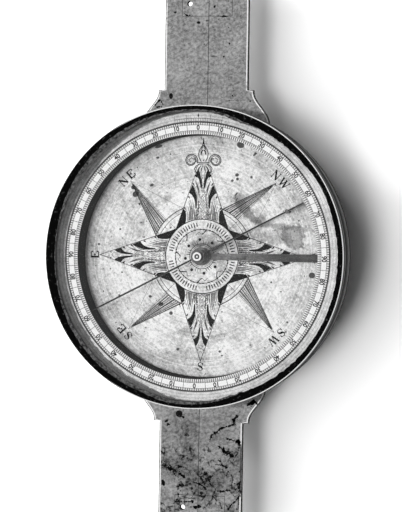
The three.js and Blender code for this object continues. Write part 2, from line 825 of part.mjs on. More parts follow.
function lifterBush() {
  const bore = lifterScrewRadius + clearance;
  const mesh = part('lifter_bush', toSolid(turned([
    [bore, plateBottom - bushFlangeThickness],
    [bushFlangeRadius, plateBottom - bushFlangeThickness],
    [bushFlangeRadius, plateBottom],
    [bushSleeveRadius, plateBottom],
    [bushSleeveRadius, plateTop - clearance],
    [bore, plateTop - clearance],
  ], smallSides)), brass);
  mesh.position.x = lifterScrewReach;
  return mesh;
}

function ringClamp() {
  const washerTop = plateBottom - clearance;
  const washerBottom = washerTop - clampWasherThickness;
  const tip = floorTop + clearance + degreeFootThickness;
  const screw = part('ring_clamp_screw', milledScrew(clampRadius, washerBottom - clearance, tip), brass);
  const washer = part('ring_clamp_washer', cutFrom(
    toSolid(rod(clampWasherRadius, washerBottom, washerTop)),
    rod(clampRadius + clearance, washerBottom - overrun, washerTop + overrun, screwSides),
  ), brass);
  const group = new THREE.Group();
  group.position.set(...polar(clampCircleRadius, clampAzimuth), 0);
  group.add(screw, washer);
  return group;
}

function boxScrews() {
  return spreadAngles(boxScrewCount).map((angle, i) => {
    const head = countersunk(
      boxScrewRadius, boxScrewHeadRadius, boxScrewHeadHeight, plateBottom, boxScrewTip(), 0,
    );
    const solid = cutFrom(toSolid(head), driverSlot(2 * boxScrewHeadRadius, plateBottom));
    const mesh = part(`box_screw_${i + 1}`, solid, steel);
    mesh.position.set(...polar(boxScrewCircleRadius, angle), 0);
    mesh.rotation.z = angle;
    return mesh;
  });
}

// Staff socket: a flange, a cove, a tapered body with a band at its mouth, and a boss for its clamp screw.
function staffSocket() {
  const flangeBottom = socketHeight - socketFlangeThickness;
  const body = toSolid(turned([
    [socketBoreMouthRadius, 0],
    [socketBandRadius - socketBandEdge, 0],
    [socketBandRadius, socketBandEdge],
    [socketBandRadius, socketBandHeight],
    [socketTailRadius, socketBandHeight + socketBandEdge],
    [socketNeckRadius, flangeBottom - socketCoveHeight],
    [socketNeckRadius + socketCoveHeight / 2, flangeBottom - socketCoveHeight / 3],
    [socketNeckRadius + socketCoveHeight, flangeBottom],
    [socketFlangeRadius - socketFlangeEdge, flangeBottom],
    [socketFlangeRadius, flangeBottom + socketFlangeEdge],
    [socketFlangeRadius, socketHeight],
    [0, socketHeight],
    [0, socketHeight - socketRoofThickness],
    [socketBoreTopRadius, socketHeight - socketRoofThickness],
  ], bodySides));
  const boss = rod(socketBossRadius, (socketBoreMouthRadius + socketTailRadius) / 2, socketBossReach)
    .rotateX(Math.PI / 2).translate(0, 0, socketClampHeight);
  const bossHole = rod(socketClampRadius + clearance, 0, socketBossReach + overrun, screwSides)
    .rotateX(Math.PI / 2).translate(0, 0, socketClampHeight);
  const holeRadius = socketScrewRadius + clearance;
  const screwHoles = spreadAngles(socketScrewCount).map((angle) => {
    const hole = rod(holeRadius, flangeBottom - overrun, socketHeight + overrun, screwSides);
    return hole.translate(...polar(socketScrewCircleRadius, angle), 0);
  });
  return part('staff_socket', cutFrom(body.add(toSolid(boss)), bossHole, ...screwHoles), brass);
}

function socketScrews() {
  const seat = socketHeight - socketFlangeThickness;
  return spreadAngles(socketScrewCount).map((angle, i) => {
    const screw = turned([
      [0, seat - socketScrewHeadHeight],
      [socketScrewHeadRadius, seat - socketScrewHeadHeight],
      [socketScrewHeadRadius, seat],
      [socketScrewRadius, seat],
      [socketScrewRadius, plateTop - clearance],
      [0, plateTop - clearance],
    ], screwSides);
    const slot = driverSlot(2 * socketScrewHeadRadius, seat - socketScrewHeadHeight);
    const mesh = part(`socket_screw_${i + 1}`, cutFrom(toSolid(screw), slot), steel);
    mesh.position.set(...polar(socketScrewCircleRadius, angle), 0);
    mesh.rotation.z = angle;
    return mesh;
  });
}

// Clamp screw of the socket: a shank, a collar and a flat oval thumb piece, along -Y.
function socketClampScrew() {
  const collarStart = socketBossReach + clearance;
  const collarEnd = collarStart + socketClampCollarLength;
  const tip = socketBoreMouthRadius + socketClampTipGap;
  const shank = toSolid(rod(socketClampRadius, tip, collarStart + overrun, screwSides));
  const collar = toSolid(rod(socketClampCollarRadius, collarStart, collarEnd));
  const wingMiddle = collarEnd + wingLength / 2 - overrun;
  const oval = new THREE.Shape();
  oval.absellipse(0, wingMiddle, wingHalfWidth, wingLength / 2, 0, 2 * Math.PI, false);
  const wing = toSolid(raised(oval, -wingThickness / 2, wingThickness / 2).rotateX(Math.PI / 2));
  const mesh = part('socket_clamp_screw', shank.add(collar).add(wing), brass);
  mesh.rotation.x = Math.PI / 2;
  mesh.position.z = socketClampHeight;
  return mesh;
}

const needle = new THREE.Group();
needle.position.z = pivotTip;
needle.rotation.set(0, needleDip, needleHeading, 'ZYX');
needle.add(needleBlade(), needleCap(), needleJewel(), needleBalance(), needleRider());

const compass = new THREE.Group();
compass.add(
  limbPlate(),
  compassBox(),
  bezelRing(),
  landRing(),
  degreeRing(),
  facePlate(),
  pivotPin(),
  pivotNut(),
  needle,
  lifterSpring(),
  lifterCollar(),
  lifterBlock(),
  lifterAnchorScrew(),
  lifterScrew(),
  lifterBush(),
  glass(),
  cementRing(),
  ringClamp(),
  ...boxScrews(),
  staffSocket(),
  ...socketScrews(),
  socketClampScrew(),
);

export default compass;
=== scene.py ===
import math

import bmesh
import bpy
from mathutils import Matrix, Vector, noise
from mathutils.geometry import interpolate_bezier


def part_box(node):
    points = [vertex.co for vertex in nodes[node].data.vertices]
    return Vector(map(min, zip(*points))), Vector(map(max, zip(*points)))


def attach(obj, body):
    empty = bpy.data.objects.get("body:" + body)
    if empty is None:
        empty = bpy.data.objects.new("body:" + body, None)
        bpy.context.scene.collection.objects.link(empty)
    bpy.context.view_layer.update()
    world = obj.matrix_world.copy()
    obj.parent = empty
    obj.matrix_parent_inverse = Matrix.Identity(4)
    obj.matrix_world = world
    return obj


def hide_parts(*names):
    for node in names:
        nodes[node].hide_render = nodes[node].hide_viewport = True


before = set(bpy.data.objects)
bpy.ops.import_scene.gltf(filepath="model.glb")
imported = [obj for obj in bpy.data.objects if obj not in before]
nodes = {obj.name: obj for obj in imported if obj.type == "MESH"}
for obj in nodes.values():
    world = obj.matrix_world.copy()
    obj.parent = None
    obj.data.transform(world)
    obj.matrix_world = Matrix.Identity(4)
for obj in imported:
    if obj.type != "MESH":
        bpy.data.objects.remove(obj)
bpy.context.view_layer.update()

scene = bpy.context.scene
mm = 0.001


class Wire:
    # one socket of a node tree: sums on it add Math nodes, and node() adds any other node
    def __init__(self, tree, socket):
        self.tree = tree
        self.socket = socket

    def join(self, value, entry):
        if isinstance(value, Wire):
            self.tree.links.new(value.socket, entry)
        else:
            entry.default_value = value

    def node(self, kind, settings, inputs, output=0):
        made = self.tree.nodes.new(kind)
        for name, value in settings.items():
            setattr(made, name, value)
        for name, value in inputs.items():
            self.join(value, made.inputs[name])
        return Wire(self.tree, made.outputs[output])

    def math(self, operation, *others):
        return self.node("ShaderNodeMath", {"operation": operation}, dict(enumerate((self, *others))))

    def __add__(self, other):
        return self.math("ADD", other)

    def __sub__(self, other):
        return self.math("SUBTRACT", other)

    def __rsub__(self, other):
        return (self * -1).math("ADD", other)

    def __mul__(self, other):
        return self.math("MULTIPLY", other)

    def __truediv__(self, other):
        return self.math("DIVIDE", other)

    def __pow__(self, other):
        return self.math("POWER", other)

    __radd__ = __add__
    __rmul__ = __mul__

    def most(self, other):
        return self.math("MAXIMUM", other)

    def least(self, other):
        return self.math("MINIMUM", other)

    def near(self, centre, low, high):
        # the distance from a number, as a ramp
        return (self - centre).math("ABSOLUTE").ramp(low, high)

    def part(self, axis):
        return self.node("ShaderNodeSeparateXYZ", {}, {"Vector": self}, axis)

    def blend(self, share, other):
        return self * (1 - share) + share * other

    def sway(self, amount):
        # noise, which lies round 0.5, as a change to either side of 0
        return (self - 0.5) * amount

    def ramp(self, low, high):
        # 0 below low, 1 above high; low may lie above high
        inputs = {"Value": self, "From Min": min(low, high), "From Max": max(low, high)}
        rising = self.node("ShaderNodeMapRange", {"interpolation_type": "SMOOTHSTEP"}, inputs)
        return rising if low < high else 1 - rising

    def spots(self, scale, detail=2, roughness=0.5, stretch=(1, 1, 1), shift=(0, 0, 0), turn=0):
        # noise on a place, turned and then stretched along its axes
        place = self
        if turn:
            inputs = {"Vector": self, "Rotation": (0, 0, math.radians(turn))}
            place = self.node("ShaderNodeMapping", {"vector_type": "TEXTURE"}, inputs)
        place = self.node("ShaderNodeMapping", {}, {"Vector": place, "Location": shift, "Scale": stretch})
        inputs = {"Vector": place, "Scale": scale, "Detail": detail, "Roughness": roughness}
        return self.node("ShaderNodeTexNoise", {}, inputs)

    def along(self, scale, detail, roughness):
        # noise on one number
        inputs = {"W": self, "Scale": scale, "Detail": detail, "Roughness": roughness}
        return self.node("ShaderNodeTexNoise", {"noise_dimensions": "1D"}, inputs)


class Skin:
    # a new material, with the place in millimetres that its patterns are made from
    def __init__(self, name):
        self.material = bpy.data.materials.new(name)
        self.material.use_nodes = True
        tree = self.material.node_tree
        metres = Wire(tree, tree.nodes.new("ShaderNodeTexCoord").outputs["Object"])
        self.place = metres.node("ShaderNodeVectorMath", {"operation": "SCALE"}, {"Vector": metres, "Scale": 1 / mm})
        self.spots = self.place.spots

    def parts(self):
        return [self.place.part(axis) for axis in range(3)]

    def clouds(self):
        return self.spots(0.06, 5, 0.6)

    def fine(self):
        return self.spots(1.1, 4, 0.6, shift=(11, 3, 5))

    def finish(self, colour, roughness, height=None, strength=0.3, depth=0.05, metallic=0.0, specular=0.5, **others):
        # links what varies and sets what doesn't; height and depth are in millimetres
        values = {"Base Color": colour, "Roughness": roughness, "Metallic": metallic,
                  "Specular IOR Level": specular, **others}
        if height is not None:
            inputs = {"Height": height, "Strength": strength, "Distance": depth * mm}
            values["Normal"] = self.place.node("ShaderNodeBump", {}, inputs)
        shader = self.material.node_tree.nodes["Principled BSDF"]
        for name, value in values.items():
            self.place.join(value, shader.inputs[name])
        return self.material


def farOut(x, y):
    return (x * x + y * y) ** 0.5


def patch(x, y, centre, size, turn, soft, wobble):
    # 1 inside an oval patch of half-lengths size, turned by degrees, and 0 outside it
    c, s = math.cos(math.radians(turn)), math.sin(math.radians(turn))
    u = ((x - centre[0]) * c + (y - centre[1]) * s) / size[0]
    v = ((y - centre[1]) * c - (x - centre[0]) * s) / size[1]
    return (farOut(u, v) + wobble).ramp(1 + soft / 2, 1 - soft / 2)


def addObject(name, bm):
    # an object from a bmesh in millimetres
    bmesh.ops.scale(bm, vec=(mm, mm, mm), verts=bm.verts)
    mesh = bpy.data.meshes.new(name)
    bm.to_mesh(mesh)
    bm.free()
    made = bpy.data.objects.new(name, mesh)
    scene.collection.objects.link(made)
    return made


def makePiece(name, bm, material, body, node=None, smooth=35):
    # a piece that rides on a body, and stands for a CAD node if one is named
    piece = addObject(name, bm)
    piece.data.materials.append(material)
    if smooth:
        piece.data.shade_smooth()
        piece.data.set_sharp_from_angle(angle=math.radians(smooth))
    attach(piece, body)
    if node:
        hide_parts(node)
    return piece


def turnsOf(start, end, steps):
    return [Matrix.Rotation(math.radians(start + (end - start) * i / steps), 3, "Z") for i in range(steps + 1)]


def sweepProfile(profile, turns, closed):
    # a closed outline of (radius, height) at each of the turns, joined by faces
    bm = bmesh.new()
    rings = [[bm.verts.new(turn @ Vector((radius, 0, height))) for radius, height in profile] for turn in turns]
    for before, ring in zip(rings[-1:] + rings if closed else rings, rings if closed else rings[1:]):
        for j in range(len(profile)):
            bm.faces.new((before[j - 1], before[j], ring[j], ring[j - 1]))
    if not closed:
        bm.faces.new(rings[0])
        bm.faces.new(rings[-1])
    bmesh.ops.remove_doubles(bm, verts=bm.verts, dist=1e-4)
    bmesh.ops.recalc_face_normals(bm, faces=bm.faces)
    return bm


def turnProfile(profile, steps=192):
    return sweepProfile(profile, turnsOf(0, 360, steps)[:-1], True)


def polar(radius, degrees):
    a = math.radians(degrees)
    return radius * math.cos(a), radius * math.sin(a)


def arcPoints(radius, start, end, steps, centre=(0, 0)):
    # radius is one number, or one for each axis
    wide, high = radius if isinstance(radius, tuple) else (radius, radius)
    turn = [math.radians(start + (end - start) * i / steps) for i in range(steps + 1)]
    return [(centre[0] + wide * math.cos(a), centre[1] + high * math.sin(a)) for a in turn]


cameraSet = {"place": (268.47, 23.91, 1350), "tilt": (-1.023, 11.69, 0.866), "lens": 157.04}


def makeCamera():
    data = bpy.data.cameras.new("camera")
    data.sensor_width = 36
    data.lens = cameraSet["lens"]
    data.clip_start = 0.02
    data.clip_end = 30
    camera = bpy.data.objects.new("camera", data)
    scene.collection.objects.link(camera)
    tiltX, tiltY, roll = [math.radians(angle) for angle in cameraSet["tilt"]]
    turn = Matrix.Rotation(tiltY, 4, "Y") @ Matrix.Rotation(tiltX, 4, "X") @ Matrix.Rotation(roll, 4, "Z")
    camera.matrix_world = Matrix.Translation(Vector(cameraSet["place"]) * mm) @ turn
    scene.camera = camera


floorSet = {"size": 6000, "tone": 0.97}


def makeFloor():
    bm = bmesh.new()
    bmesh.ops.create_grid(bm, x_segments=4, y_segments=4, size=floorSet["size"] / 2)
    floor = addObject("floor", bm)
    skin = Skin("paleFloor")
    floor.data.materials.append(skin.finish(floorSet["tone"] - skin.spots(0.02, 3) * 0.01, 0.9, specular=0))
    return floor


lightSet = {
    "fill": 0.055,
    "key": {"height": 71, "spread": 3.5, "level": 0.75},
    "softKey": {"height": 90, "spread": 150, "level": 0.2},
    "faceSharp": {"height": 82.5, "spread": 4, "level": 0.3},
    "faceKey": {"height": 74, "spread": 24, "level": 0.48},
    "floorWide": {"height": 55, "spread": 70, "level": 1.0},
    "floorTop": {"height": 90, "spread": 20, "level": 0.08},
    "floorHigh": {"height": 80, "spread": 14, "level": 0.32, "side": 42},
    "floorLow": {"height": 35, "spread": 10, "level": 0.15, "side": -30},
}


def makeSun(name, height, spread, level, shapes, state, side=0):
    # a sun from the left, or turned aside from it; level is the share of full light on a level surface
    data = bpy.data.lights.new(name, "SUN")
    data.energy = level * math.pi / math.sin(math.radians(height))
    data.angle = math.radians(spread)
    sun = bpy.data.objects.new(name, data)
    scene.collection.objects.link(sun)
    sun.matrix_world = Matrix.Rotation(math.radians(side), 4, "Z") @ Matrix.Rotation(math.radians(height - 90), 4, "Y")
    receivers = bpy.data.collections.new(name + "Receivers")
    for shape in shapes:
        receivers.objects.link(shape)
    for entry in receivers.collection_objects:
        entry.light_linking.link_state = state
    sun.light_linking.receiver_collection = receivers
    sun.visible_glossy = False
    return sun


def makeWorld():
    # white where it is seen, a band of light in polished surfaces, and a faint fill for the rest
    world = bpy.data.worlds.new("studio")
    world.use_nodes = True
    scene.world = world
    tree = world.node_tree
    path = tree.nodes.new("ShaderNodeLightPath")
    camera, through, glossy, depth = [Wire(tree, path.outputs[name]) for name in
                                      ("Is Camera Ray", "Is Transmission Ray", "Is Glossy Ray", "Diffuse Depth")]
    seen = camera.most(through)
    glossy = glossy * (1 - depth.ramp(0, 1))
    across = Wire(tree, tree.nodes.new("ShaderNodeTexCoord").outputs["Generated"]).part(0)
    reflected = 1.02 - across.ramp(0, 0.9) * 0.7
    level = seen + (1 - seen) * (glossy * reflected + (1 - glossy) * lightSet["fill"])
    background = tree.nodes["Background"]
    level.join(level, background.inputs["Strength"])
    level.join((1, 1, 1, 1), background.inputs["Color"])


makeCamera()
floor = makeFloor()
makeWorld()
scene.view_settings.view_transform = "Standard"
print("stage: camera and floor")


def makeBrass(name, tone, metallic, lathe, blotch, edge=None, rough=0.42):
    # aged grey brass; lathe adds turning marks, edge=(height, tone) a band above that height painted light as a
    # highlight
    skin = Skin(name)
    x, y, z = skin.parts()
    clouds, fine = skin.clouds(), skin.fine()
    shade = tone + clouds.sway(tone * blotch * 2) + fine.sway(tone * 0.35)
    height = fine * 0.5
    roughness = rough + clouds.sway(0.25)
    if lathe:
        rings = (farOut(x, y) + fine.sway(0.05)).along(3.2, 4, 0.7) + z.along(2.1, 3, 0.7)
        shade = shade + (rings - 1) * tone * lathe
        height = height + rings * 0.5
    if edge:
        highlightBand = z.ramp(edge[0] - 0.2, edge[0] + 0.1)
        shade = shade.blend(highlightBand, edge[1] * (0.92 + fine * 0.16))
        roughness = roughness * (1 - highlightBand * 0.5)
    return skin.finish(shade, roughness, height, 0.35, 0.05, metallic)


def makeLimbBrass():
    # grey brass with painted shade on its sides and underside, and corrosion that runs in chains over the south arm
    skin = Skin("limbBrass")
    y, z = skin.parts()[1:]
    grain = skin.spots(0.55, 5, 0.7, shift=(4, 1, 0))
    brushed = skin.spots(0.8, 3, 0.6, stretch=(1, 0.2, 1), shift=(9, 9, 1), turn=-65)
    shade = 0.3 + skin.spots(0.05, 5, 0.6).sway(0.3) + grain.sway(0.95) + brushed.sway(0.3)
    pits = skin.spots(0.45, shift=(40, 7, 2)).ramp(0.72, 0.76)
    south = y.ramp(-92, -108)
    veins = skin.spots(0.055, 3, 0.55, shift=(7, 31, 0)).near(0.5, 0.03, 0)
    crumbs = skin.spots(0.5, 4, 0.7, shift=(2, 5, 8))
    chains = south * veins * crumbs.ramp(0.42, 0.56)
    patches = south * skin.spots(0.035, 3, 0.6, shift=(3, 1, 6)).ramp(0.42, 0.6)
    shade = shade * (1 - patches * 0.42 - patches * crumbs.ramp(0.48, 0.58) * 0.4)
    shade = shade * (1 - (chains * 0.9).most(pits * 0.7))
    # painted shade: the underside is darkened
    shade = shade * (1 - z.ramp(plateBottom + 0.3, plateBottom + 0.1) * 0.7)
    # painted shade: the sides are near black, with no metal sheen
    side = z.ramp(plateTop - 0.02, plateTop - 0.08) * z.ramp(plateBottom + 0.4, plateBottom + 0.46)
    shade = shade.blend(side, 0.012 + grain * 0.03).most(0.006)
    height = grain * 0.4 - pits - chains * 1.5
    return skin.finish(shade, 0.5 + grain.sway(0.4), height, 0.4, 0.06, (1 - side) * 0.35, 0)


def makeWornEdge():
    # brass painted bright along an edge as a highlight, dull again in places, dirty along the east edge of the south
    # arm
    skin = Skin("edgeHighlightAndDirt")
    x, y = skin.parts()[:2]
    clouds = skin.spots(0.08, 3, 0.6)
    grain = skin.spots(0.9, 3, 0.7, shift=(4, 1, 0))
    kept = (clouds + grain.sway(0.5)).ramp(0.3, 0.45)
    dirty = x.ramp(22, 23) * (y + clouds.sway(8)).near(-127, 16, 14)
    shade = (0.4 + kept * (0.55 + grain.sway(0.3))) * (1 - dirty * (0.93 + grain.sway(0.3)))
    return skin.finish(shade, 0.5, grain, 0.2, 0.03, specular=0)


def makeBezelBrass():
    # dark old brass with black dirt and painted shade in its hollows, painted highlights on its beads, and a lip
    # painted bright as a highlight, but for the west
    skin = Skin("bezelBrass")
    x, y, z = skin.parts()
    clouds, fine = skin.clouds(), skin.fine()
    drop = rimTop - z
    rings = z.along(2.1, 3, 0.7)
    shade = 0.095 + clouds.sway(0.08) + fine.sway(0.08) + rings.sway(0.14)
    # painted highlight along the tops of two beads
    shade = shade * (1 + drop.near(4.2, 0.9, 0.3).most(drop.near(9.8, 0.9, 0.3)) * 1.3)
    # painted shade and dirt in the hollows
    hollowDirtAndShade = drop.ramp(10.8, 11.6) * drop.ramp(15.6, 14.8)
    for depth in (3.1, 5.3, 8.6, 19.2):
        hollowDirtAndShade = hollowDirtAndShade.most(drop.near(depth, 0.5, 0.1) * 0.8)
    # painted highlight on the lip, broken in places; on the west the lip stays black
    rubbingAndHighlight = x.ramp(-52, -34) * fine.ramp(0.28, 0.36)
    lip = 0.012 + rubbingAndHighlight * (0.8 + fine.sway(0.3))
    shade = (shade * (1 - hollowDirtAndShade * 0.9)).blend(z.ramp(rimTop - 0.3, rimTop - 0.1), lip)
    inside = farOut(x, y).ramp(86.5, 86.3) * z.ramp(rimTop - 0.5, rimTop - 0.7)
    shade = shade.blend(inside, 0.13 + fine.sway(0.1))
    return skin.finish(shade, 0.4 + clouds.sway(0.25), fine * 0.5 + rings * 0.5, 0.35, 0.05, 0.12, 0)


def makeBoxBrass():
    # painted shade: black under the bezel, down to the foot, which keeps the plain brass tone
    skin = Skin("boxBrass")
    z = skin.parts()[2]
    clouds, fine = skin.clouds(), skin.fine()
    rings = z.along(2.4, 4, 0.7)
    shade = 0.3 + clouds.sway(0.2) + fine.sway(0.15) + rings.sway(0.2)
    # painted shade on the wall above the foot
    shade = shade * (1 - (z + clouds.sway(2)).ramp(plateTop + 3.6, plateTop + 5.2) * 0.88)
    return skin.finish(shade, 0.42 + clouds.sway(0.25), fine * 0.5 + rings * 0.5, 0.35, 0.05, 0.15, 0)


def makeLifterBrass():
    # dull brass, painted lighter towards the pivot as a reflection and darker towards its screwed end
    skin = Skin("lifterBrass")
    clouds = skin.spots(0.16, 5, 0.65)
    fine = skin.fine()
    streaks = skin.spots(0.5, 4, 0.7, stretch=(0.25, 1, 1), shift=(6, 2, 1))
    # painted reflection: lighter near the pivot, darker towards the screwed end
    shade = 0.16 - skin.parts()[0].ramp(24, 46) * 0.095
    shade = (shade * (1 + clouds.sway(2) + fine.sway(1.8) + streaks.sway(2.2))).most(0.01)
    return skin.finish(shade, 0.5 + fine.sway(0.3), fine + clouds, 0.3, 0.04, 0.3)


def makeLandSilver():
    # silvering, darker along both edges
    skin = Skin("landSilver")
    radius = farOut(*skin.parts()[:2])
    mottle = skin.spots(0.3, 5, 0.7, shift=(2, 2, 2))
    fine = skin.spots(0.9, 4, 0.65, shift=(5, 9, 1))
    marks = radius.along(1.6, 4, 0.7)
    shade = 0.7 + skin.spots(0.05, 5, 0.62).sway(0.9) + mottle.sway(0.9) + fine.sway(0.8) + marks.sway(0.5)
    edgeDark = (radius + mottle.sway(2.4)).ramp(84, 85).most(radius.ramp(79.9, 79.5) * 0.5)
    specks = skin.spots(0.5, shift=(31, 2, 8)).ramp(0.69, 0.74)
    shade = (shade * (1 - edgeDark * 0.42) * (1 - specks * 0.5)).least(0.92)
    return skin.finish(shade, 0.5 + fine.sway(0.3), fine * 0.5 + marks * 0.6, 0.25, 0.03, 0.12)


def makeRingSilver():
    # clean silvering on top; down the wall dull dark brass, darkened further as painted shade
    skin = Skin("ringSilver")
    x, y, z = skin.parts()
    fine = skin.spots(0.9, 4, 0.65, shift=(5, 9, 1))
    shade = 0.95 + skin.spots(0.06, 4, 0.6).sway(0.3) + fine.sway(0.35)
    shade = (shade * (1 - farOut(x, y).near(75.75, 1.5, 1.9) * 0.06)).least(0.96)
    # painted shade: the wall's near-black tone
    wall = 0.03 + fine * 0.03 - z.ramp(ringTop - 1.2, ringTop - 0.2) * 0.024
    shade = wall.blend(z.ramp(ringTop - 0.25, ringTop - 0.1), shade)
    return skin.finish(shade, 0.55 + fine.sway(0.2), fine, 0.2, 0.03, specular=0)


# centre, half-lengths, turn, softness and depth of each stain on the face
# the patch at (6, 4.6), right of the hub, is painted shadow of the needle cap
stainSet = (
    ((27, 26.3), (12, 2.4), -42, 0.7, 0.62), ((46, 18.6), (12, 1.9), -2, 0.8, 0.52),
    ((55.4, 12.8), (7, 7), 0, 0.25, 0.5), ((45, 12.4), (9, 5.6), 0, 0.6, 0.34), ((23, 35), (4, 3), 30, 0.8, 0.5),
    ((35, 22), (4, 3.4), 0, 0.8, 0.4), ((-21, 34), (3.4, 2.2), 20, 0.9, 0.35), ((-24, 50), (22, 9), 35, 1.4, 0.16),
    ((-19, -60), (26, 4), 8, 1.2, 0.15), ((9, -48), (4, 3), 0, 1, 0.2), ((20, 8), (13, 8), 10, 1.2, 0.3),
    ((60, 30), (9, 3), 70, 1.4, 0.2), ((-9, -45), (5, 2.4), 10, 1, 0.25), ((3.5, 9.4), (6.5, 4), 10, 1, 0.4),
    ((-3.6, 6.8), (3.6, 3), 20, 0.9, 0.5), ((6, 4.6), (7, 4), 10, 1, 0.5), ((11, -6), (5, 3), -40, 1, 0.3),
    ((-36, 58), (20, 5), 32, 1.2, 0.14), ((-44, -44), (20, 4), -44, 1.2, 0.14),
)


def makeFaceSilver():
    # matt silvering with turned arcs, rubbing, stains and specks
    skin = Skin("faceSilver")
    x, y = skin.parts()[:2]
    radius = farOut(x, y)
    clouds = skin.spots(0.04, 5, 0.62)
    mottle = skin.spots(0.14, 5, 0.7, shift=(3, 17, 4))
    fine = skin.spots(0.8, 4, 0.7, shift=(5, 9, 1))
    arcs = (radius + clouds.sway(1.2)).along(0.55, 6, 0.75)
    rubbingAndHighlight = skin.spots(0.5, 4, 0.65, stretch=(1, 0.12, 1), turn=38)
    shade = 0.76 + clouds.sway(0.8) + mottle.sway(1.1) + fine.sway(1.5) + arcs.sway(0.8) + rubbingAndHighlight.sway(0.7)
    # painted shade: darker towards the rim, most towards the upper left, where the ring's shadow falls
    edge = (radius + mottle.sway(8)).ramp(60, 68)
    shade = shade * (1 - edge * (0.06 + (y - x).ramp(10, 90) * 0.08))
    wobble = mottle.sway(1.4) + fine.sway(0.6)
    for *stain, depth in stainSet:
        shade = shade * (1 - patch(x, y, *stain, wobble) * depth)
    specks = skin.spots(0.42, shift=(31, 2, 8)).ramp(0.69, 0.75)
    shade = (shade * (1 - specks * 0.75)).least(0.96).most(0.06)
    return skin.finish(shade, 0.5 + fine.sway(0.3), fine * 0.5 + arcs * 0.6, 0.25, 0.03, 0.12)


def makeInk(name, tone):
    # black wax in the engraved lines, worn here and there
    skin = Skin(name)
    worn = skin.spots(0.7, 3, 0.6, shift=(2, 6, 9)).ramp(0.5, 0.8)
    return skin.finish(tone + worn * 0.05, 0.8, specular=0.1)


def makeSteel(name, tone, metallic=0.8, rough=0.35, hub=0):
    # streaky steel, lighter and dull within the radius hub
    skin = Skin(name)
    bloom = skin.spots(0.8, 4, 0.6)
    shade = tone * 0.7 + bloom * tone * 0.6
    if hub:
        x, y = skin.parts()[:2]
        near = (x * x + y * y).ramp(hub * hub * 1.2, hub * hub * 0.9)
        shade = shade + near * 0.1
        metallic = (1 - near) * metallic
    streak = skin.spots(2, 3, 0.6, stretch=(0.2, 1, 1))
    return skin.finish(shade, rough + bloom.sway(0.2), streak, 0.2, 0.02, metallic)


def makeGlassSkin():
    # clear glass with a little dust and fine scratches
    skin = Skin("windowGlass")
    dust = skin.spots(0.08, 4, 0.6)
    scratch = skin.spots(0.5, 3, 0.6, stretch=(0.1, 1, 1))
    return skin.finish((0.5, 0.5, 0.5, 1), 0.04 + dust * 0.08, scratch, 0.05, 0.01, IOR=1.5, Alpha=0.01 + dust * 0.02)


def makeCementSkins():
    # black cement with grey chips, and its thin grey film
    skin = Skin("blackCement")
    lumps = skin.spots(0.8, 4, 0.6)
    chips = skin.spots(0.5, 3, 0.6, shift=(8, 8, 8)).ramp(0.6, 0.68)
    black = skin.finish(0.002 + chips * 0.05 + lumps * 0.002, 0.85, lumps, 0.5, 0.2, specular=0)
    skin = Skin("wornCement")
    lumps = skin.spots(0.6, 4, 0.7)
    return black, skin.finish((0.085 + lumps.sway(0.6)).most(0.012), 0.8, lumps, 0.4, 0.1, specular=0.1)


def makeAgate():
    # dark agate with a painted highlight on its tip
    skin = Skin("agateJewel")
    tip = skin.parts()[2].ramp(pivotTip + 0.95, pivotTip + 1.05)
    return skin.finish(0.04 + skin.spots(1.5, 4, 0.6) * 0.06 + tip * 0.75, 0.3)


def topOf(node):
    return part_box(node)[1].z / mm


def bottomOf(node):
    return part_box(node)[0].z / mm


# heights in millimetres
faceTop, ringTop, rimTop, plateTop, glassTop, pivotTip = [
    topOf(name) for name in ("face_plate", "degree_ring", "bezel_ring", "limb_plate", "glass", "pivot_pin")]
plateBottom, floorTop, glassBottom, landBottom = [
    bottomOf(name) for name in ("limb_plate", "face_plate", "glass", "land_ring")]

inkBlack = makeInk("engravingWax", 0.006)
inkGrey = makeInk("wornWax", 0.07)
inkLimb = makeInk("limbDirt", 0.03)
limbBrass = makeLimbBrass()
edgeHighlightAndDirt = makeWornEdge()
boxBrass = makeBoxBrass()
bezelBrass = makeBezelBrass()
# numbers: tone, metallic, turning marks, blotches
socketBrass = makeBrass("socketBrass", 0.3, 0.65, 0.3, 0.35)
knobBrass = makeBrass("knobBrass", 0.36, 0.75, 0.15, 0.3)
fittingBrass = makeBrass("fittingBrass", 0.3, 0.7, 0.25, 0.3)
lifterBrass = makeLifterBrass()
# the cap's top rim is painted near-white as a highlight
capBrass = makeBrass("capBrass", 0.1, 0.1, 0.2, 0.15, edge=(topOf("needle_cap") - 0.5, 0.95), rough=0.5)
wireBrass = makeBrass("wireBrass", 0.16, 0.6, 0, 0.3)
needleSteel = makeSteel("needleSteel", 0.008, 0.1, hub=4.2)
screwSteel = makeSteel("screwSteel", 0.16)
pivotSteel = makeSteel("pivotSteel", 0.35, 0.9, 0.25)
landSilver = makeLandSilver()
ringSilver = makeRingSilver()
faceSilver = makeFaceSilver()
print("stage: materials")


bezelSet = {
    "skirt": 86.9, "band": 87.8, "rim": 88.8, "rebate": 88.15, "clear": 85, "rimHeight": 1.6, "edge": 0.35,
    "beads": ((18.1, 1.25), (9.8, 0.9), (4.2, 0.8)), "groove": (13.9, 0.6, 0.6), "sink": 0.25, "depth": 19.5,
}


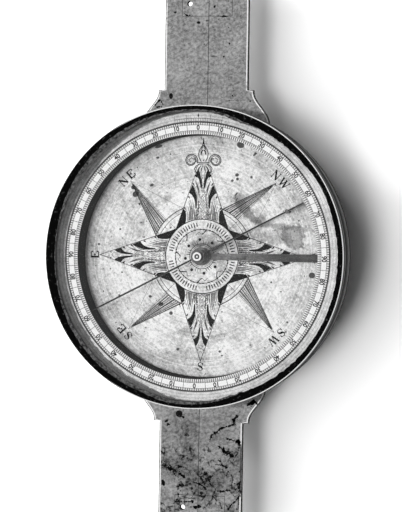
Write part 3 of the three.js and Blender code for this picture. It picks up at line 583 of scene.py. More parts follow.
def makeBezel():
    s = bezelSet
    band, rim, edge, lip = s["band"], s["rim"], s["edge"], rimTop - s["rimHeight"]
    beads = [arcPoints(size, -90, 90, 6, (band - s["sink"], rimTop - drop)) for drop, size in s["beads"]]
    drop, half, depth = s["groove"]
    groove = [(band, rimTop - drop - half), (band - depth, rimTop - drop - 0.1),
              (band - depth, rimTop - drop + 0.1), (band, rimTop - drop + half)]
    profile = [(s["skirt"], rimTop - s["depth"]), *beads[0], *groove, *beads[1], *beads[2], (rim - 0.1, lip),
               (rim, lip + 0.1), *arcPoints(edge, 0, 90, 4, (rim - edge, rimTop - edge)),
               (s["rebate"] + 0.12, rimTop), (s["rebate"], rimTop - 0.12), (s["rebate"], glassBottom),
               (s["clear"], glassBottom), (s["clear"], ringTop), (s["skirt"], ringTop)]
    makePiece("bezel", turnProfile(profile, 240), bezelBrass, "root", "bezel_ring")


def ringProfile(inner, outer, bottom, top, edge):
    # a flat ring with small bevels at its upper edges
    return [(inner, bottom), (outer, bottom), (outer, top - edge), (outer - edge, top),
            (inner + edge, top), (inner, top - edge)]


landSet = {"inner": 79.3, "outer": 86.3, "edge": 0.12}


def makeLand():
    profile = ringProfile(landSet["inner"], landSet["outer"], landBottom, ringTop, landSet["edge"])
    makePiece("land", turnProfile(profile, 240), landSilver, "root", "land_ring")


faceSet = {"bore": 2.3, "outer": 71.7, "edge": 0.15}


def makeFace():
    profile = ringProfile(faceSet["bore"], faceSet["outer"], floorTop, faceTop, faceSet["edge"])
    makePiece("face", turnProfile(profile), faceSilver, "root", "face_plate")


boxSet = {
    "bore": 2.3, "foot": 87.8, "outer": 86.6, "inner": 82.4, "footHeight": 1.4, "cove": 1.8, "edge": 0.15,
    "screwHole": (40, 0, 1.7),
}


def makeBox():
    s = boxSet
    foot, edge = s["foot"], s["edge"]
    coveTop = plateTop + s["footHeight"] + s["cove"]
    profile = [(s["bore"], plateTop), (foot - edge, plateTop), (foot, plateTop + edge),
               *arcPoints((foot - s["outer"], s["cove"]), 270, 180, 6, (foot, coveTop)),
               (s["outer"], landBottom), (s["inner"], landBottom), (s["inner"], floorTop), (s["bore"], floorTop)]
    piece = makePiece("boxWall", turnProfile(profile, 240), boxBrass, "root", "compass_box")
    reach, azimuth, wide = clampHole()
    travel = ringSet["clampTravel"] + math.degrees(wide / reach)
    bottom, top = plateTop - 1, floorTop + 1
    carve(piece, sectorCutter(reach - wide, reach + wide, azimuth - travel, azimuth + travel, bottom, top),
          rodCutter(*s["screwHole"], bottom, top))


glassSet = {"radius": 87.3, "edge": 0.2}


def makeGlass():
    radius, e = glassSet["radius"], glassSet["edge"]
    profile = [(0, glassBottom), (radius - e, glassBottom), (radius, glassBottom + e), (radius, glassTop - e),
               (radius - e, glassTop), (0, glassTop)]
    makePiece("window", turnProfile(profile), makeGlassSkin(), "root", "glass", 40)


# by direction in degrees: how far the cement comes in from its outer edge, and the grey film from the cement
cementSet = {
    "outer": 88.1, "steps": 360, "traced": 86, "least": 0.8,
    "width": ((0, 3), (20, 3.1), (28, 2.3), (40, 3.6), (60, 4.2), (70, 3.9), (80, 2.2), (92, 1.9), (110, 2.2),
              (130, 2.8), (150, 3.4), (165, 4.2), (180, 4.5), (198, 4.1), (212, 3), (225, 2.8), (250, 3), (262, 1.6),
              (275, 2.2), (290, 4.3), (310, 3.5), (330, 2.8), (360, 3)),
    "film": ((0, 0.05), (62, 0.05), (70, 1.4), (80, 1.3), (92, 0.9), (108, 0.9), (125, 2.2), (145, 2.6), (168, 0.5),
             (195, 0.6), (212, 2), (240, 2.2), (262, 1.6), (285, 0.9), (297, 0.05), (360, 0.05)),
}


def widthAt(table, degrees):
    for (a, wide), (b, wideNext) in zip(table, table[1:]):
        if a <= degrees <= b:
            return wide + (wideNext - wide) * (degrees - a) / (b - a)


def cementReach(co):
    # the radius of the cement's ragged inner edge towards a point, and that direction
    s = cementSet
    radius = math.hypot(co.x, co.y)
    x, y = co.x / radius * s["traced"], co.y / radius * s["traced"]
    wave = noise.noise(Vector((x, y, 0)) * 0.35) * 0.5 + noise.noise(Vector((x, y, 9)) * 1.3) * 0.35
    degrees = math.degrees(math.atan2(y, x)) % 360
    return s["outer"] - max(s["least"], widthAt(s["width"], degrees) + wave), degrees


def moveOut(co, goal):
    # to another distance from the axis
    radius = math.hypot(co.x, co.y)
    co.x *= goal / radius
    co.y *= goal / radius


def makeCement():
    s = cementSet
    outer = s["outer"]
    black, grey = makeCementSkins()
    bm = turnProfile([(outer - 2.6, glassTop), (outer, glassTop), (outer, rimTop - 0.05),
                      (outer - 2.1, rimTop - 0.35)], s["steps"])
    for vert in bm.verts:
        raised = vert.co.z > glassTop + 0.1
        if math.hypot(vert.co.x, vert.co.y) < outer - 1:
            moveOut(vert.co, cementReach(vert.co)[0] + (0.3 if raised else 0))
        elif raised:
            vert.co.z += noise.noise(vert.co * 0.8) * 0.06
    makePiece("cement", bm, black, "root", "cement_ring", 50)
    # the thin grey film inside the black ring
    bm = turnProfile([(82, glassTop), (84, glassTop), (84, glassTop + 0.06), (82, glassTop + 0.06)], s["steps"])
    for vert in bm.verts:
        reach, degrees = cementReach(vert.co)
        ragged = 1 + noise.noise(Vector((vert.co.x, vert.co.y, 4)) * 0.5) * 0.5
        outside = math.hypot(vert.co.x, vert.co.y) > 83
        moveOut(vert.co, reach + 0.3 if outside else reach - widthAt(s["film"], degrees) * ragged)
    makePiece("wornCement", bm, grey, "root", smooth=50)


def sectorCutter(inner, outer, start, end, bottom, top):
    # part of a ring between two directions in degrees
    corners = ((inner, bottom), (outer, bottom), (outer, top), (inner, top))
    return addObject("cutter", sweepProfile(corners, turnsOf(start, end, 12), False))


def rodCutter(x, y, radius, bottom, top):
    bm = bmesh.new()
    bmesh.ops.create_cone(bm, cap_ends=True, segments=32, radius1=radius, radius2=radius, depth=top - bottom,
                          matrix=Matrix.Translation((x, y, (bottom + top) / 2)))
    return addObject("cutter", bm)


def carve(piece, *cutters):
    # takes the cutters away from the piece and keeps the result as its mesh
    for cutter in cutters:
        cut = piece.modifiers.new("cut", "BOOLEAN")
        cut.object = cutter
        cut.operation = "DIFFERENCE"
        cut.solver = "EXACT"
    depsgraph = bpy.context.evaluated_depsgraph_get()
    depsgraph.update()
    result = bpy.data.meshes.new_from_object(piece.evaluated_get(depsgraph))
    piece.modifiers.clear()
    piece.data = result
    result.set_sharp_from_angle(angle=math.radians(35))
    for cutter in cutters:
        bpy.data.objects.remove(cutter)


# notch: half its angle; clamp: radius and direction of the clamp screw, and the screw's radius
ringSet = {
    "inner": 72, "outer": 79, "skirt": 74.4, "foot": 80.6, "footBottom": 48.5, "footTop": 51.1, "edge": 0.12,
    "notch": 14.19, "notchTop": 55, "clamp": (77.5, 225, 1.7), "clampPlay": 0.3, "clampTravel": 10.2,
}


def clampHole():
    reach, azimuth, radius = ringSet["clamp"]
    return reach, azimuth, radius + ringSet["clampPlay"]


def makeDegreeRing():
    s = ringSet
    foot, footTop, footBottom, notch = s["foot"], s["footTop"], s["footBottom"], s["notch"]
    top = ringProfile(s["inner"], s["outer"], footBottom, ringTop, s["edge"])[2:]
    profile = [(s["inner"], footBottom), (foot, footBottom), (foot, footTop), (s["skirt"], footTop),
               (s["skirt"], landBottom), (s["outer"], landBottom), *top]
    bm = turnProfile(profile, 240)
    piece = makePiece("degreeRing", bm, ringSilver, "degree_ring", "degree_ring")
    reach, azimuth, radius = clampHole()
    carve(piece, sectorCutter(s["inner"] - 1, foot + 1, -notch, notch, footBottom - 1, s["notchTop"]),
          rodCutter(*polar(reach, azimuth), radius, footBottom - 1, footTop + 1))


# step and foot: where the shoulder's curve starts and ends; pulls: the curve's two handles
limbSet = {
    "arm": 25.4, "end": 184, "corner": 1.2, "disc": 88, "step": 28.9, "foot": 38.6, "shoulder": 99,
    "flat": 1.2, "pulls": (6, 7), "chamfer": 0.4, "boxScrewHole": 4.1, "socketScrewHole": 2.2,
    "holes": ((-10.4, 150.4, 1.5), (0, 167, 3.2), (10.4, 176, 1.5), (-10.4, -150.4, 1.5), (0, -167, 3.2),
              (10.4, -176, 1.5), (-13.4, -94.5, 1.8), (0, 0, 6.4), (40, 0, 3.3)),
}


def bmeshOf(curve, merge):
    # a curve drawn in metres becomes a bmesh in millimetres
    drawn = bpy.data.objects.new("drawn", curve)
    bm = bmesh.new()
    bm.from_mesh(bpy.data.meshes.new_from_object(drawn))
    bpy.data.objects.remove(drawn)
    bmesh.ops.scale(bm, vec=(1 / mm, 1 / mm, 1 / mm), verts=bm.verts)
    bmesh.ops.remove_doubles(bm, verts=bm.verts, dist=merge)
    bmesh.ops.recalc_face_normals(bm, faces=bm.faces)
    return bm


def addSpline(curve, points, closed):
    spline = curve.splines.new("POLY")
    spline.points.add(len(points) - 1)
    for point, (x, y, *height) in zip(spline.points, points):
        point.co = (x * mm, y * mm, height[0] * mm if height else 0, 1)
    spline.use_cyclic_u = closed


def limbOutline():
    s = limbSet
    footY = math.sqrt(s["disc"] ** 2 - s["foot"] ** 2)
    curveTop = s["shoulder"] - s["flat"]
    sweep = interpolate_bezier((s["step"], curveTop), (s["step"], curveTop - s["pulls"][0]),
                               (s["foot"], footY + s["pulls"][1]), (s["foot"], footY), 16)
    rim = math.degrees(math.atan2(footY, s["foot"]))
    quarter = [(0, s["end"]), (s["arm"] - s["corner"], s["end"]), (s["arm"], s["end"] - s["corner"]),
               (s["arm"], s["shoulder"]), (s["step"], s["shoulder"]), *[(p[0], p[1]) for p in sweep],
               *arcPoints(s["disc"], rim, 0, 24)[1:]]
    right = quarter + [(x, -y) for x, y in reversed(quarter[:-1])]
    return right + [(-x, y) for x, y in reversed(right[1:-1])]


def makeLimb():
    s = limbSet
    curve = bpy.data.curves.new("limb", "CURVE")
    curve.dimensions = "2D"
    curve.fill_mode = "BOTH"
    addSpline(curve, limbOutline(), True)
    holes = list(s["holes"])
    for name in sorted(nodes):
        if name.startswith(("box_screw", "socket_screw")):
            middle = (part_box(name)[0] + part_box(name)[1]) / 2 / mm
            holes.append((middle.x, middle.y, s["boxScrewHole" if "box" in name else "socketScrewHole"]))
    for x, y, radius in holes:
        addSpline(curve, arcPoints(radius, 0, 345, 23, (x, y)), True)
    reach, azimuth, wide = clampHole()
    start, end = azimuth - ringSet["clampTravel"], azimuth + ringSet["clampTravel"]
    addSpline(curve, [*arcPoints(reach + wide, start, end, 12),
                      *arcPoints(wide, end, end + 180, 8, polar(reach, end))[1:-1],
                      *arcPoints(reach - wide, end, start, 12),
                      *arcPoints(wide, start - 180, start, 8, polar(reach, start))[1:-1]], True)
    curve.extrude = ((plateTop - plateBottom) / 2 - s["chamfer"]) * mm
    curve.bevel_depth = s["chamfer"] * mm
    curve.bevel_resolution = 1
    curve.offset = -s["chamfer"] * mm
    bm = bmeshOf(curve, 1e-3)
    bmesh.ops.translate(bm, vec=(0, 0, (plateTop + plateBottom) / 2), verts=bm.verts)
    makePiece("limb", bm, limbBrass, "root", "limb_plate", 30)


socketSet = {
    "mouth": 11.4, "top": 10.2, "tail": 15.4, "band": 17, "bandHeight": 5, "bandEdge": 1, "neck": 16.6,
    "cove": 3, "flange": 30, "flangeThickness": 4, "flangeEdge": 0.8, "roof": 6,
    "bossHeight": 19, "boss": 5.4, "bossFrom": 13.4, "bossTo": 20,
}


def makeSocket():
    s = socketSet
    mouth, band, bandTop, tail, cove, flange = [
        s[name] for name in ("mouth", "band", "bandHeight", "tail", "cove", "flange")]
    flangeBottom = plateBottom - s["flangeThickness"]
    roof = plateBottom - s["roof"]
    profile = [(mouth + 0.3, 0), (band - s["bandEdge"], 0), (band - 0.3, 0.3), (band, 1), (band, bandTop - 0.4),
               (band - 0.4, bandTop), (tail + 0.3, bandTop + 0.4), (tail, bandTop + 1),
               *arcPoints(cove, 180, 90, 8, (s["neck"] + cove, flangeBottom - cove)),
               (flange - s["flangeEdge"], flangeBottom), (flange - 0.24, flangeBottom + 0.24),
               (flange, flangeBottom + s["flangeEdge"]), (flange, plateBottom), (0, plateBottom), (0, roof),
               (s["top"], roof), (mouth, 0.3)]
    bm = turnProfile(profile, 128)
    middle = (0, -(s["bossFrom"] + s["bossTo"]) / 2, s["bossHeight"])
    boss = bmesh.ops.create_cone(bm, cap_ends=True, segments=48, radius1=s["boss"], radius2=s["boss"],
                                 depth=s["bossTo"] - s["bossFrom"],
                                 matrix=Matrix.Translation(middle) @ Matrix.Rotation(math.pi / 2, 4, "X"))["verts"]
    end = [edge for edge in bm.edges if all(vert in boss and vert.co.y < 0.01 - s["bossTo"] for vert in edge.verts)]
    bmesh.ops.bevel(bm, geom=end, offset=0.5, offset_type="OFFSET", affect="EDGES", segments=3, profile=0.5,
                    material=-1)
    makePiece("socket", bm, socketBrass, "root", "staff_socket")


needleSet = {"heading": 27.9, "dip": 5, "drop": 2, "deep": 2.6, "thick": 0.9}
needlePlace = (Matrix.Translation((0, 0, pivotTip)) @ Matrix.Rotation(math.radians(needleSet["heading"]), 4, "Z")
               @ Matrix.Rotation(math.radians(needleSet["dip"]), 4, "Y"))


def makeNeedlePiece(name, bm, material, node, smooth=35):
    # drawn level about the pivot's tip, then set at the needle's heading and dip
    bmesh.ops.transform(bm, matrix=needlePlace, verts=bm.verts)
    makePiece(name, bm, material, "needle", node, smooth)


capSet = {
    "bore": 1.7, "skirt": 2.4, "radius": 2.65, "flange": 3.7, "flangeThickness": 0.7, "skirtDrop": 5.2,
    "top": 2, "edge": 0.3, "recess": 1.5, "recessDepth": 0.6, "jewelBore": 1.15, "boreTop": 1.2, "corner": 0.1,
}


def makeCap():
    s = capSet
    bore, skirt, radius, flange, recess, corner, edge, top = [
        s[name] for name in ("bore", "skirt", "radius", "flange", "recess", "corner", "edge", "top")]
    flangeTop = -needleSet["drop"] - needleSet["deep"] / 2 - 0.3
    flangeBottom = flangeTop - s["flangeThickness"]
    floorOf = top - s["recessDepth"]
    profile = [(bore, -s["skirtDrop"]), (skirt, -s["skirtDrop"]), (skirt, flangeBottom),
               (flange - corner, flangeBottom), (flange, flangeBottom + corner),
               (flange, flangeTop - corner), (flange - corner, flangeTop),
               (radius, flangeTop), *arcPoints(edge, 0, 90, 5, (radius - edge, top - edge)),
               (recess + corner, top), (recess, top - corner), (recess, floorOf), (s["jewelBore"], floorOf),
               (s["jewelBore"], -s["boreTop"]), (bore, -s["boreTop"])]
    makeNeedlePiece("cap", turnProfile(profile, 64), capBrass, "needle_cap")


jewelSet = {"profile": ((0, 0.3), (0.55, -0.9), (0.85, -0.9), (0.85, 0.7), (0.78, 0.92), (0.6, 1.05), (0.3, 1.1),
                        (0, 1.1))}


def makeJewel():
    makeNeedlePiece("jewel", turnProfile(jewelSet["profile"], 32), makeAgate(), "needle_jewel")


balanceSet = {"start": 9, "pitch": 1, "turns": 8, "play": 0.45, "wire": 0.25, "stepsPerTurn": 20}


def makeBalance():
    s = balanceSet
    halfWidth = needleSet["thick"] / 2 + s["play"] + s["wire"]
    halfHeight = needleSet["deep"] / 2 + s["play"] + s["wire"]
    curve = bpy.data.curves.new("balance", "CURVE")
    curve.dimensions = "3D"
    curve.bevel_depth = s["wire"] * mm
    curve.bevel_resolution = 2
    curve.use_fill_caps = True
    points = []
    for i in range(s["turns"] * s["stepsPerTurn"] + 1):
        turned = i / s["stepsPerTurn"]
        a = 2 * math.pi * turned
        points.append((s["start"] + s["pitch"] * turned, halfWidth * math.cos(a),
                       halfHeight * math.sin(a) - needleSet["drop"]))
    addSpline(curve, points, False)
    makeNeedlePiece("balance", bmeshOf(curve, 1e-4), wireBrass, "needle_balance", 60)


collarSet = {"hole": 1.5, "flange": 5.2, "thickness": 0.8, "rim": 3.2, "edge": 0.15}


def makeCollar():
    s = collarSet
    hole, flange, rim, e = s["hole"], s["flange"], s["rim"], s["edge"]
    bottom, top = bottomOf("lifter_collar"), topOf("lifter_collar")
    step = bottom + s["thickness"]
    profile = [(hole, bottom), (flange, bottom), (flange, step - e), (flange - e, step), (rim, step), (rim, top - e),
               (rim - e, top), (hole + e, top), (hole, top - e)]
    makePiece("collar", turnProfile(profile, 64), lifterBrass, "lifter_spring", "lifter_collar")


for make in (makeBezel, makeLand, makeFace, makeBox, makeGlass, makeCement, makeDegreeRing, makeLimb, makeSocket,
             makeCap, makeJewel, makeBalance, makeCollar):
    make()
print("stage: turned pieces and plate")

# CAD nodes that keep their own shapes
keptNodes = (
    (needleSteel, "needle_blade"), (wireBrass, "needle_rider"), (lifterBrass, "lifter_spring"),
    (fittingBrass, "lifter_block", "pivot_nut", "lifter_bush", "ring_clamp_washer"),
    (screwSteel, "lifter_anchor_screw", *[f"{kind}_screw_{i}" for kind in ("box", "socket") for i in range(1, 5)]),
    (knobBrass, "lifter_screw", "ring_clamp_screw", "socket_clamp_screw"), (pivotSteel, "pivot_pin"),
)
for material, *names in keptNodes:
    for name in names:
        for slot in nodes[name].material_slots:
            slot.material = material
print("stage: kept nodes")


def addStroke(bm, path, widths, turn=0, mirror=1):
    # a flat ribbon along (x, y) points, with a width at each point or one for all
    count = len(path)
    if isinstance(widths, (int, float)):
        widths = [widths] * count
    rotate = Matrix.Rotation(math.radians(turn), 3, "Z")
    points = [rotate @ Vector((x * mirror, y, 0)) for x, y in path]
    verts = bmesh.ops.create_grid(bm, x_segments=count - 1, y_segments=1, size=1)["verts"]
    for vert in verts:
        i = round((vert.co.x + 1) / 2 * (count - 1))
        along = (points[min(i + 1, count - 1)] - points[max(i - 1, 0)]).normalized()
        side = Vector((-along.y, along.x, 0)) * widths[i] / 2
        vert.co = points[i] + (side if vert.co.y > 0 else -side)


def addBrush(bm, points, turn=0, mirror=1):
    # a ribbon along (x, y, width) points
    addStroke(bm, [point[:2] for point in points], [point[2] for point in points], turn, mirror)


# blobs beside a thin and a wide stretch of corrosion: distance aside and size, as shares of its width
thinBlobs = ((0.45, 0.6), (1.3, 0.22), (-1.5, 0.18))
wideBlobs = ((0.9, 0.26), (-0.8, 0.22), (1.9, 0.18), (-1.9, 0.16), (2.8, 0.12), (-2.7, 0.12), (0.1, 0.2))
blobSet = {"apart": 0.6, "wide": 1.5, "least": 0.12, "sides": 9, "plateReach": 98, "armReach": 25}


def addBlob(bm, spot, radius):
    # a rough dot, left out where it would hang over the plate's edge
    rim = []
    for i in range(blobSet["sides"]):
        x, y = polar(1, 360 / blobSet["sides"] * i)
        reach = radius * (1 + 0.9 * noise.noise(Vector((spot.x * 2 + x, spot.y * 2 + y, i))))
        rim.append((spot.x + reach * x, spot.y + reach * y))
    if abs(spot.y) < blobSet["plateReach"] or abs(spot.x) + radius < blobSet["armReach"]:
        addShape(bm, rim)


def addRagged(bm, path):
    # rough blobs along (x, y, width) points
    for (*start, wide), (*end, wideNext) in zip(path, path[1:]):
        start, end = Vector(start), Vector(end)
        steps = max(2, round((end - start).length / blobSet["apart"]))
        for i in range(steps):
            place = start.lerp(end, i / steps)
            width = wide + (wideNext - wide) * i / steps
            side = Vector([noise.noise(Vector((place.x * 1.9, place.y * 1.9, level))) for level in (3, 17, 31)])
            for aside, size in wideBlobs if width > blobSet["wide"] else thinBlobs:
                radius = max(blobSet["least"], width * size * (0.75 + 1.2 * side.z))
                addBlob(bm, place + side.xy * width * aside, radius)


def addShape(bm, outline, turn=0, mirror=1):
    # a filled flat outline
    rotate = Matrix.Rotation(math.radians(turn), 3, "Z")
    bm.faces.new([bm.verts.new(rotate @ Vector((x * mirror, y, 0))) for x, y in outline])


def addCircle(bm, radius, width, start=0, end=360, steps=192):
    # a flat ring, or part of one
    turn = Matrix.Rotation(math.radians(start), 3, "Z")
    ends = [bm.verts.new(turn @ Vector((radius + side * width / 2, 0, 0))) for side in (-1, 1)]
    bmesh.ops.spin(bm, geom=ends + [bm.edges.new(ends)], cent=(0, 0, 0), axis=(0, 0, 1),
                   angle=math.radians(end - start), steps=steps, use_merge=end - start >= 360)


def addTicks(bm, inner, outer, width, start, step, count):
    # radial ticks: one is drawn, then copied round
    verts = bmesh.ops.create_grid(bm, x_segments=1, y_segments=1, size=0.5)["verts"]
    turn = Matrix.Rotation(math.radians(start), 3, "Z")
    for vert in verts:
        vert.co = turn @ Vector((outer if vert.co.x > 0 else inner, width * vert.co.y, 0))
    if count > 1:
        faces = list(verts[0].link_faces)
        edges = list(faces[0].edges)
        bmesh.ops.spin(bm, geom=verts + edges + faces, cent=(0, 0, 0), axis=(0, 0, 1),
                       angle=math.radians(step * (count - 1)), steps=count - 1, use_duplicate=True)


def addText(bm, words, size, radius, angle, stretch=1):
    # words with their tops outwards, centred at a radius and a direction
    data = bpy.data.curves.new("words", "FONT")
    data.body = words
    data.size = size
    data.align_x = "CENTER"
    data.align_y = "CENTER"
    data.resolution_u = 3
    data.offset = size * 0.032
    drawn = bpy.data.objects.new("words", data)
    mesh = bpy.data.meshes.new_from_object(drawn)
    bpy.data.objects.remove(drawn)
    turn = Matrix.Rotation(math.radians(angle - 90), 4, "Z")
    mesh.transform(turn @ Matrix.Translation((0, radius, 0)) @ Matrix.Diagonal((stretch, 1, 1, 1)))
    bm.from_mesh(mesh)


def addDot(bm, x, y, radius, stretch=1, turn=0):
    place = (Matrix.Translation((x, y, 0)) @ Matrix.Rotation(math.radians(turn), 4, "Z")
             @ Matrix.Diagonal((stretch, 1, 1, 1)))
    bmesh.ops.create_circle(bm, cap_ends=True, segments=16, radius=radius, matrix=place)


# how far the drawn shapes lie above the metal
liftSet = {"edge": 0.015, "shading": 0.02, "lines": 0.03}


def finishEngraving(name, bm, height, material, body):
    for face in bm.faces:
        face.normal_update()
        if face.normal.z < 0:
            face.normal_flip()
    bmesh.ops.translate(bm, vec=(0, 0, height), verts=bm.verts)
    makePiece(name, bm, material, body, smooth=0)


# each letter's strokes on a frame 1 high and about 0.8 wide: points, and a width for all or at each
letterStrokes = {
    "E": ((((-0.28, -0.5), (-0.28, 0.5)), 0.16), (((-0.4, 0.47), (0.3, 0.47), (0.36, 0.24)), (0.07, 0.08, 0.16)),
          (((-0.4, -0.47), (0.32, -0.47), (0.4, -0.22)), (0.07, 0.09, 0.17)), (((-0.28, 0.02), (0.0, 0.02)), 0.06),
          (((0.03, -0.12), (0.03, 0.16)), 0.1)),
    "N": ((((-0.34, -0.5), (-0.34, 0.48)), 0.05), (((-0.36, 0.5), (0.34, -0.5)), 0.17), (((0.34, -0.5),
          (0.34, 0.5)), 0.05), (((-0.5, 0.48), (-0.26, 0.48)), 0.06), (((-0.46, -0.48), (-0.22, -0.48)), 0.06),
          (((0.22, 0.48), (0.46, 0.48)), 0.06)),
    "W": ((((-0.5, 0.5), (-0.22, -0.5)), 0.15), (((-0.22, -0.5), (0.02, 0.4)), 0.05), (((0.0, 0.5), (0.26, -0.5)),
          0.15), (((0.26, -0.5), (0.52, 0.5)), 0.05), (((-0.64, 0.48), (-0.36, 0.48)), 0.06), (((-0.14, 0.48),
          (0.14, 0.48)), 0.06), (((0.4, 0.48), (0.64, 0.48)), 0.06)),
    "S": ((((0.28, 0.3), (0.2, 0.42), (0.02, 0.48), (-0.18, 0.42), (-0.26, 0.26), (-0.18, 0.1), (0.0, 0.01),
          (0.18, -0.09), (0.27, -0.25), (0.2, -0.42), (0.0, -0.49), (-0.2, -0.43), (-0.3, -0.28)),
          (0.05, 0.05, 0.05, 0.06, 0.1, 0.16, 0.2, 0.16, 0.1, 0.06, 0.05, 0.05, 0.05)), (((0.29, 0.18),
          (0.29, 0.46)), 0.06), (((-0.31, -0.46), (-0.31, -0.16)), 0.06)),
}


def addLetter(bm, letter, angle):
    height = starSet["letterHeight"]
    for path, widths in letterStrokes[letter]:
        path = [(x * height, y * height + starSet["letters"]) for x, y in path]
        widths = [widths] * len(path) if isinstance(widths, float) else widths
        addStroke(bm, path, [(width * 1.15 + 0.03) * height for width in widths], angle - 90)


# circles: radius, line width and, where it is broken, degrees left free at each main point
starSet = {
    "tip": 62.6, "valley": 15.9, "north": 49.8, "circle": (30.7, 0.5, 22.3), "innerCircle": (28.5, 0.3, 20.5),
    "medallion": (22.1, 0.55), "rope": (16, 0.35), "hub": ((7.4, 0.4), (6.5, 0.2)), "tips": (62.7, 0.07),
    "corner": 28.2, "foot": (21.6, 21.6), "letters": 65.6, "letterHeight": 4.9, "dots": 66,
}
ribSet = {"rows": 26, "start": 22.2, "rowStep": 0.82, "across": 0.95, "widest": 4.8, "end": 43}
medallionSet = {
    "ropeTurns": 54, "ropeLine": ((-0.12, -3.84), (0.05, 0), (0.22, 2.56)), "vanes": 8, "firstVane": 36.4,
    "vane": ((16, 0), (15, 1.5), (14, 4.5), (13.1, 9.5)), "between": 16.5, "dot": (10.1, 0.9),
    "petals": (10.887, 20.054, 29.221), "petal": ((7.6, 0), (9.6, 2.292)),
    "arch": ((13, -6.875), (14.6, 0), (13.4, 8.021)), "band": 19, "bandStrokes": 72, "bandGaps": (0, 1, 17),
}
# directions in degrees of the letters, and of the dots beside them
letterPlaces = (("E", 180), ("S", 270), ("W", 0), ("N", 137.8), ("E", 132.2), ("N", 47.9), ("W", 42), ("S", 227.5),
                ("E", 222.4), ("S", 317.6), ("W", 311.8))
dotPlaces = (127.6, 37.4, 218, 306)


# one side of a main point, as (sideways, outwards) in millimetres; greyFlames have widths as well
blackLeaves = (
    ((2.8, 53.2), (4.1, 49.4), (2.7, 48.5), (1.9, 47.4), (1.25, 44.8), (0.85, 42.4), (0.55, 42.6), (0.6, 44.8),
     (0.85, 47.5), (1.7, 51.4)),
    ((6.3, 42.3), (8.1, 37.6), (6.6, 36.7), (5.2, 34.6), (4.5, 32.2), (4.15, 28.4), (3.8, 28.8), (3.6, 32.3),
     (3.8, 35.8), (5, 39.4)),
    ((11.8, 27.8), (10.5, 26.8), (10.1, 24), (10.1, 21.6), (10.4, 20), (12.5, 18.6), (14.2, 17.3), (15.9, 15.9)),
)
edgeTicks = (((4.9, 48.2), (3.7, 46.8)), ((6.1, 43.4), (5.1, 41.8)), ((8.7, 35.6), (7.9, 34.2)),
             ((11.2, 29), (10.2, 27.5)), ((1.9, 56), (1.3, 55.3)))
greyFlames = (
    ((4.6, 45, 0.2), (3, 40.5, 0.9), (2.4, 36, 0.2)), ((2.2, 37, 0.2), (2.5, 30, 0.45), (3, 22.4, 0.5)),
    ((0.95, 50, 0.15), (0.7, 44, 0.5), (0.35, 38, 0.2)), ((3.6, 43.4, 0.1), (2, 38.8, 0.35), (1.5, 34, 0.2)),
    ((5.6, 41.4, 0.1), (3.6, 37.6, 0.4), (3, 33, 0.2)), ((6.3, 33.6, 0.1), (5.6, 30, 0.3), (5.3, 25, 0.3)),
    ((7.4, 32.5, 0.15), (6.4, 28.5, 0.5), (6.1, 21.7, 0.7)), ((8.3, 32, 0.15), (7.2, 28, 0.6), (7, 21.5, 0.8)),
    ((8.9, 29.6, 0.15), (8, 26, 0.45), (7.9, 21.3, 0.75)), ((9.8, 28, 0.1), (8.9, 24.6, 0.35), (8.8, 21, 0.6)),
    ((5.2, 28, 0.2), (4.8, 25, 0.5), (5.1, 22, 0.6)), ((3.9, 27.4, 0.2), (3.9, 24.6, 0.6), (4.1, 22.2, 0.7)),
)
tipLines = (((0, 62.4), (1, 59), (1.2, 57.6), (0, 56.4)), ((0, 55.2), (1.5, 53.6), (1.1, 52)))


def pointSide(out):
    # half the width of a main point at a distance from the centre
    return starSet["valley"] / (starSet["tip"] - starSet["valley"]) * (starSet["tip"] - out)


def onCircle(point):
    return point * (starSet["circle"][0] / point.length)


def drawPoint(black, grey, quarter):
    # a main point's edges, leaves, ticks and flames; the one at north stops under the lily
    turn, north = 90 * quarter, quarter == 0
    outs = (starSet["north" if north else "tip"], 30, starSet["valley"])
    for mirror in (1, -1):
        addStroke(black, [(pointSide(out), out) for out in outs], (0.25, 0.45, 0.5), turn, mirror)
        for i, leaf in enumerate(blackLeaves):
            if north and i == 0:
                leaf = tuple((x + 0.4, y - 1.6) for x, y in leaf)
            addShape(black, leaf, turn, mirror)
            addStroke(black, [*leaf, leaf[0]], 0.4, turn, mirror)
        for tick in edgeTicks[:4] if north else edgeTicks:
            addStroke(black, tick, (1.1, 0.2), turn, mirror)
        for flame in greyFlames:
            addBrush(grey, flame, turn, mirror)
        if not north:
            for line in tipLines:
                addStroke(black, line, 0.17, turn, mirror)
            addStroke(black, ((0, 62.5), (0.35, 61.2)), 0.3, turn, mirror)


def drawRib(black, grey, quarter):
    # a stippled rib up the middle of a main point
    s = ribSet
    for row in range(s["rows"]):
        out = s["start"] + row * s["rowStep"]
        half = min(s["widest"], 0.5 + (s["end"] - out) / 20 * 4.6)
        count = max(1, int(half / s["across"]))
        for i in range(-count, count + 1):
            jitter = noise.noise(Vector((i * 1.7, row * 1.3, quarter * 5)))
            bend = noise.noise(Vector((i * 2.1, row * 0.9, 7 + quarter * 5)))
            x = (i + 0.5 * (row % 2)) * s["across"] + jitter * 0.5
            if abs(x) < half and jitter > -0.3:
                ink = black if bend + (30 - out) * 0.03 > 0 else grey
                path = ((x, out), (x + bend * 0.5, out + 0.35), (x * 0.85, out + 0.75))
                addStroke(ink, path, (0.2, 0.5, 0.2), 90 * quarter)


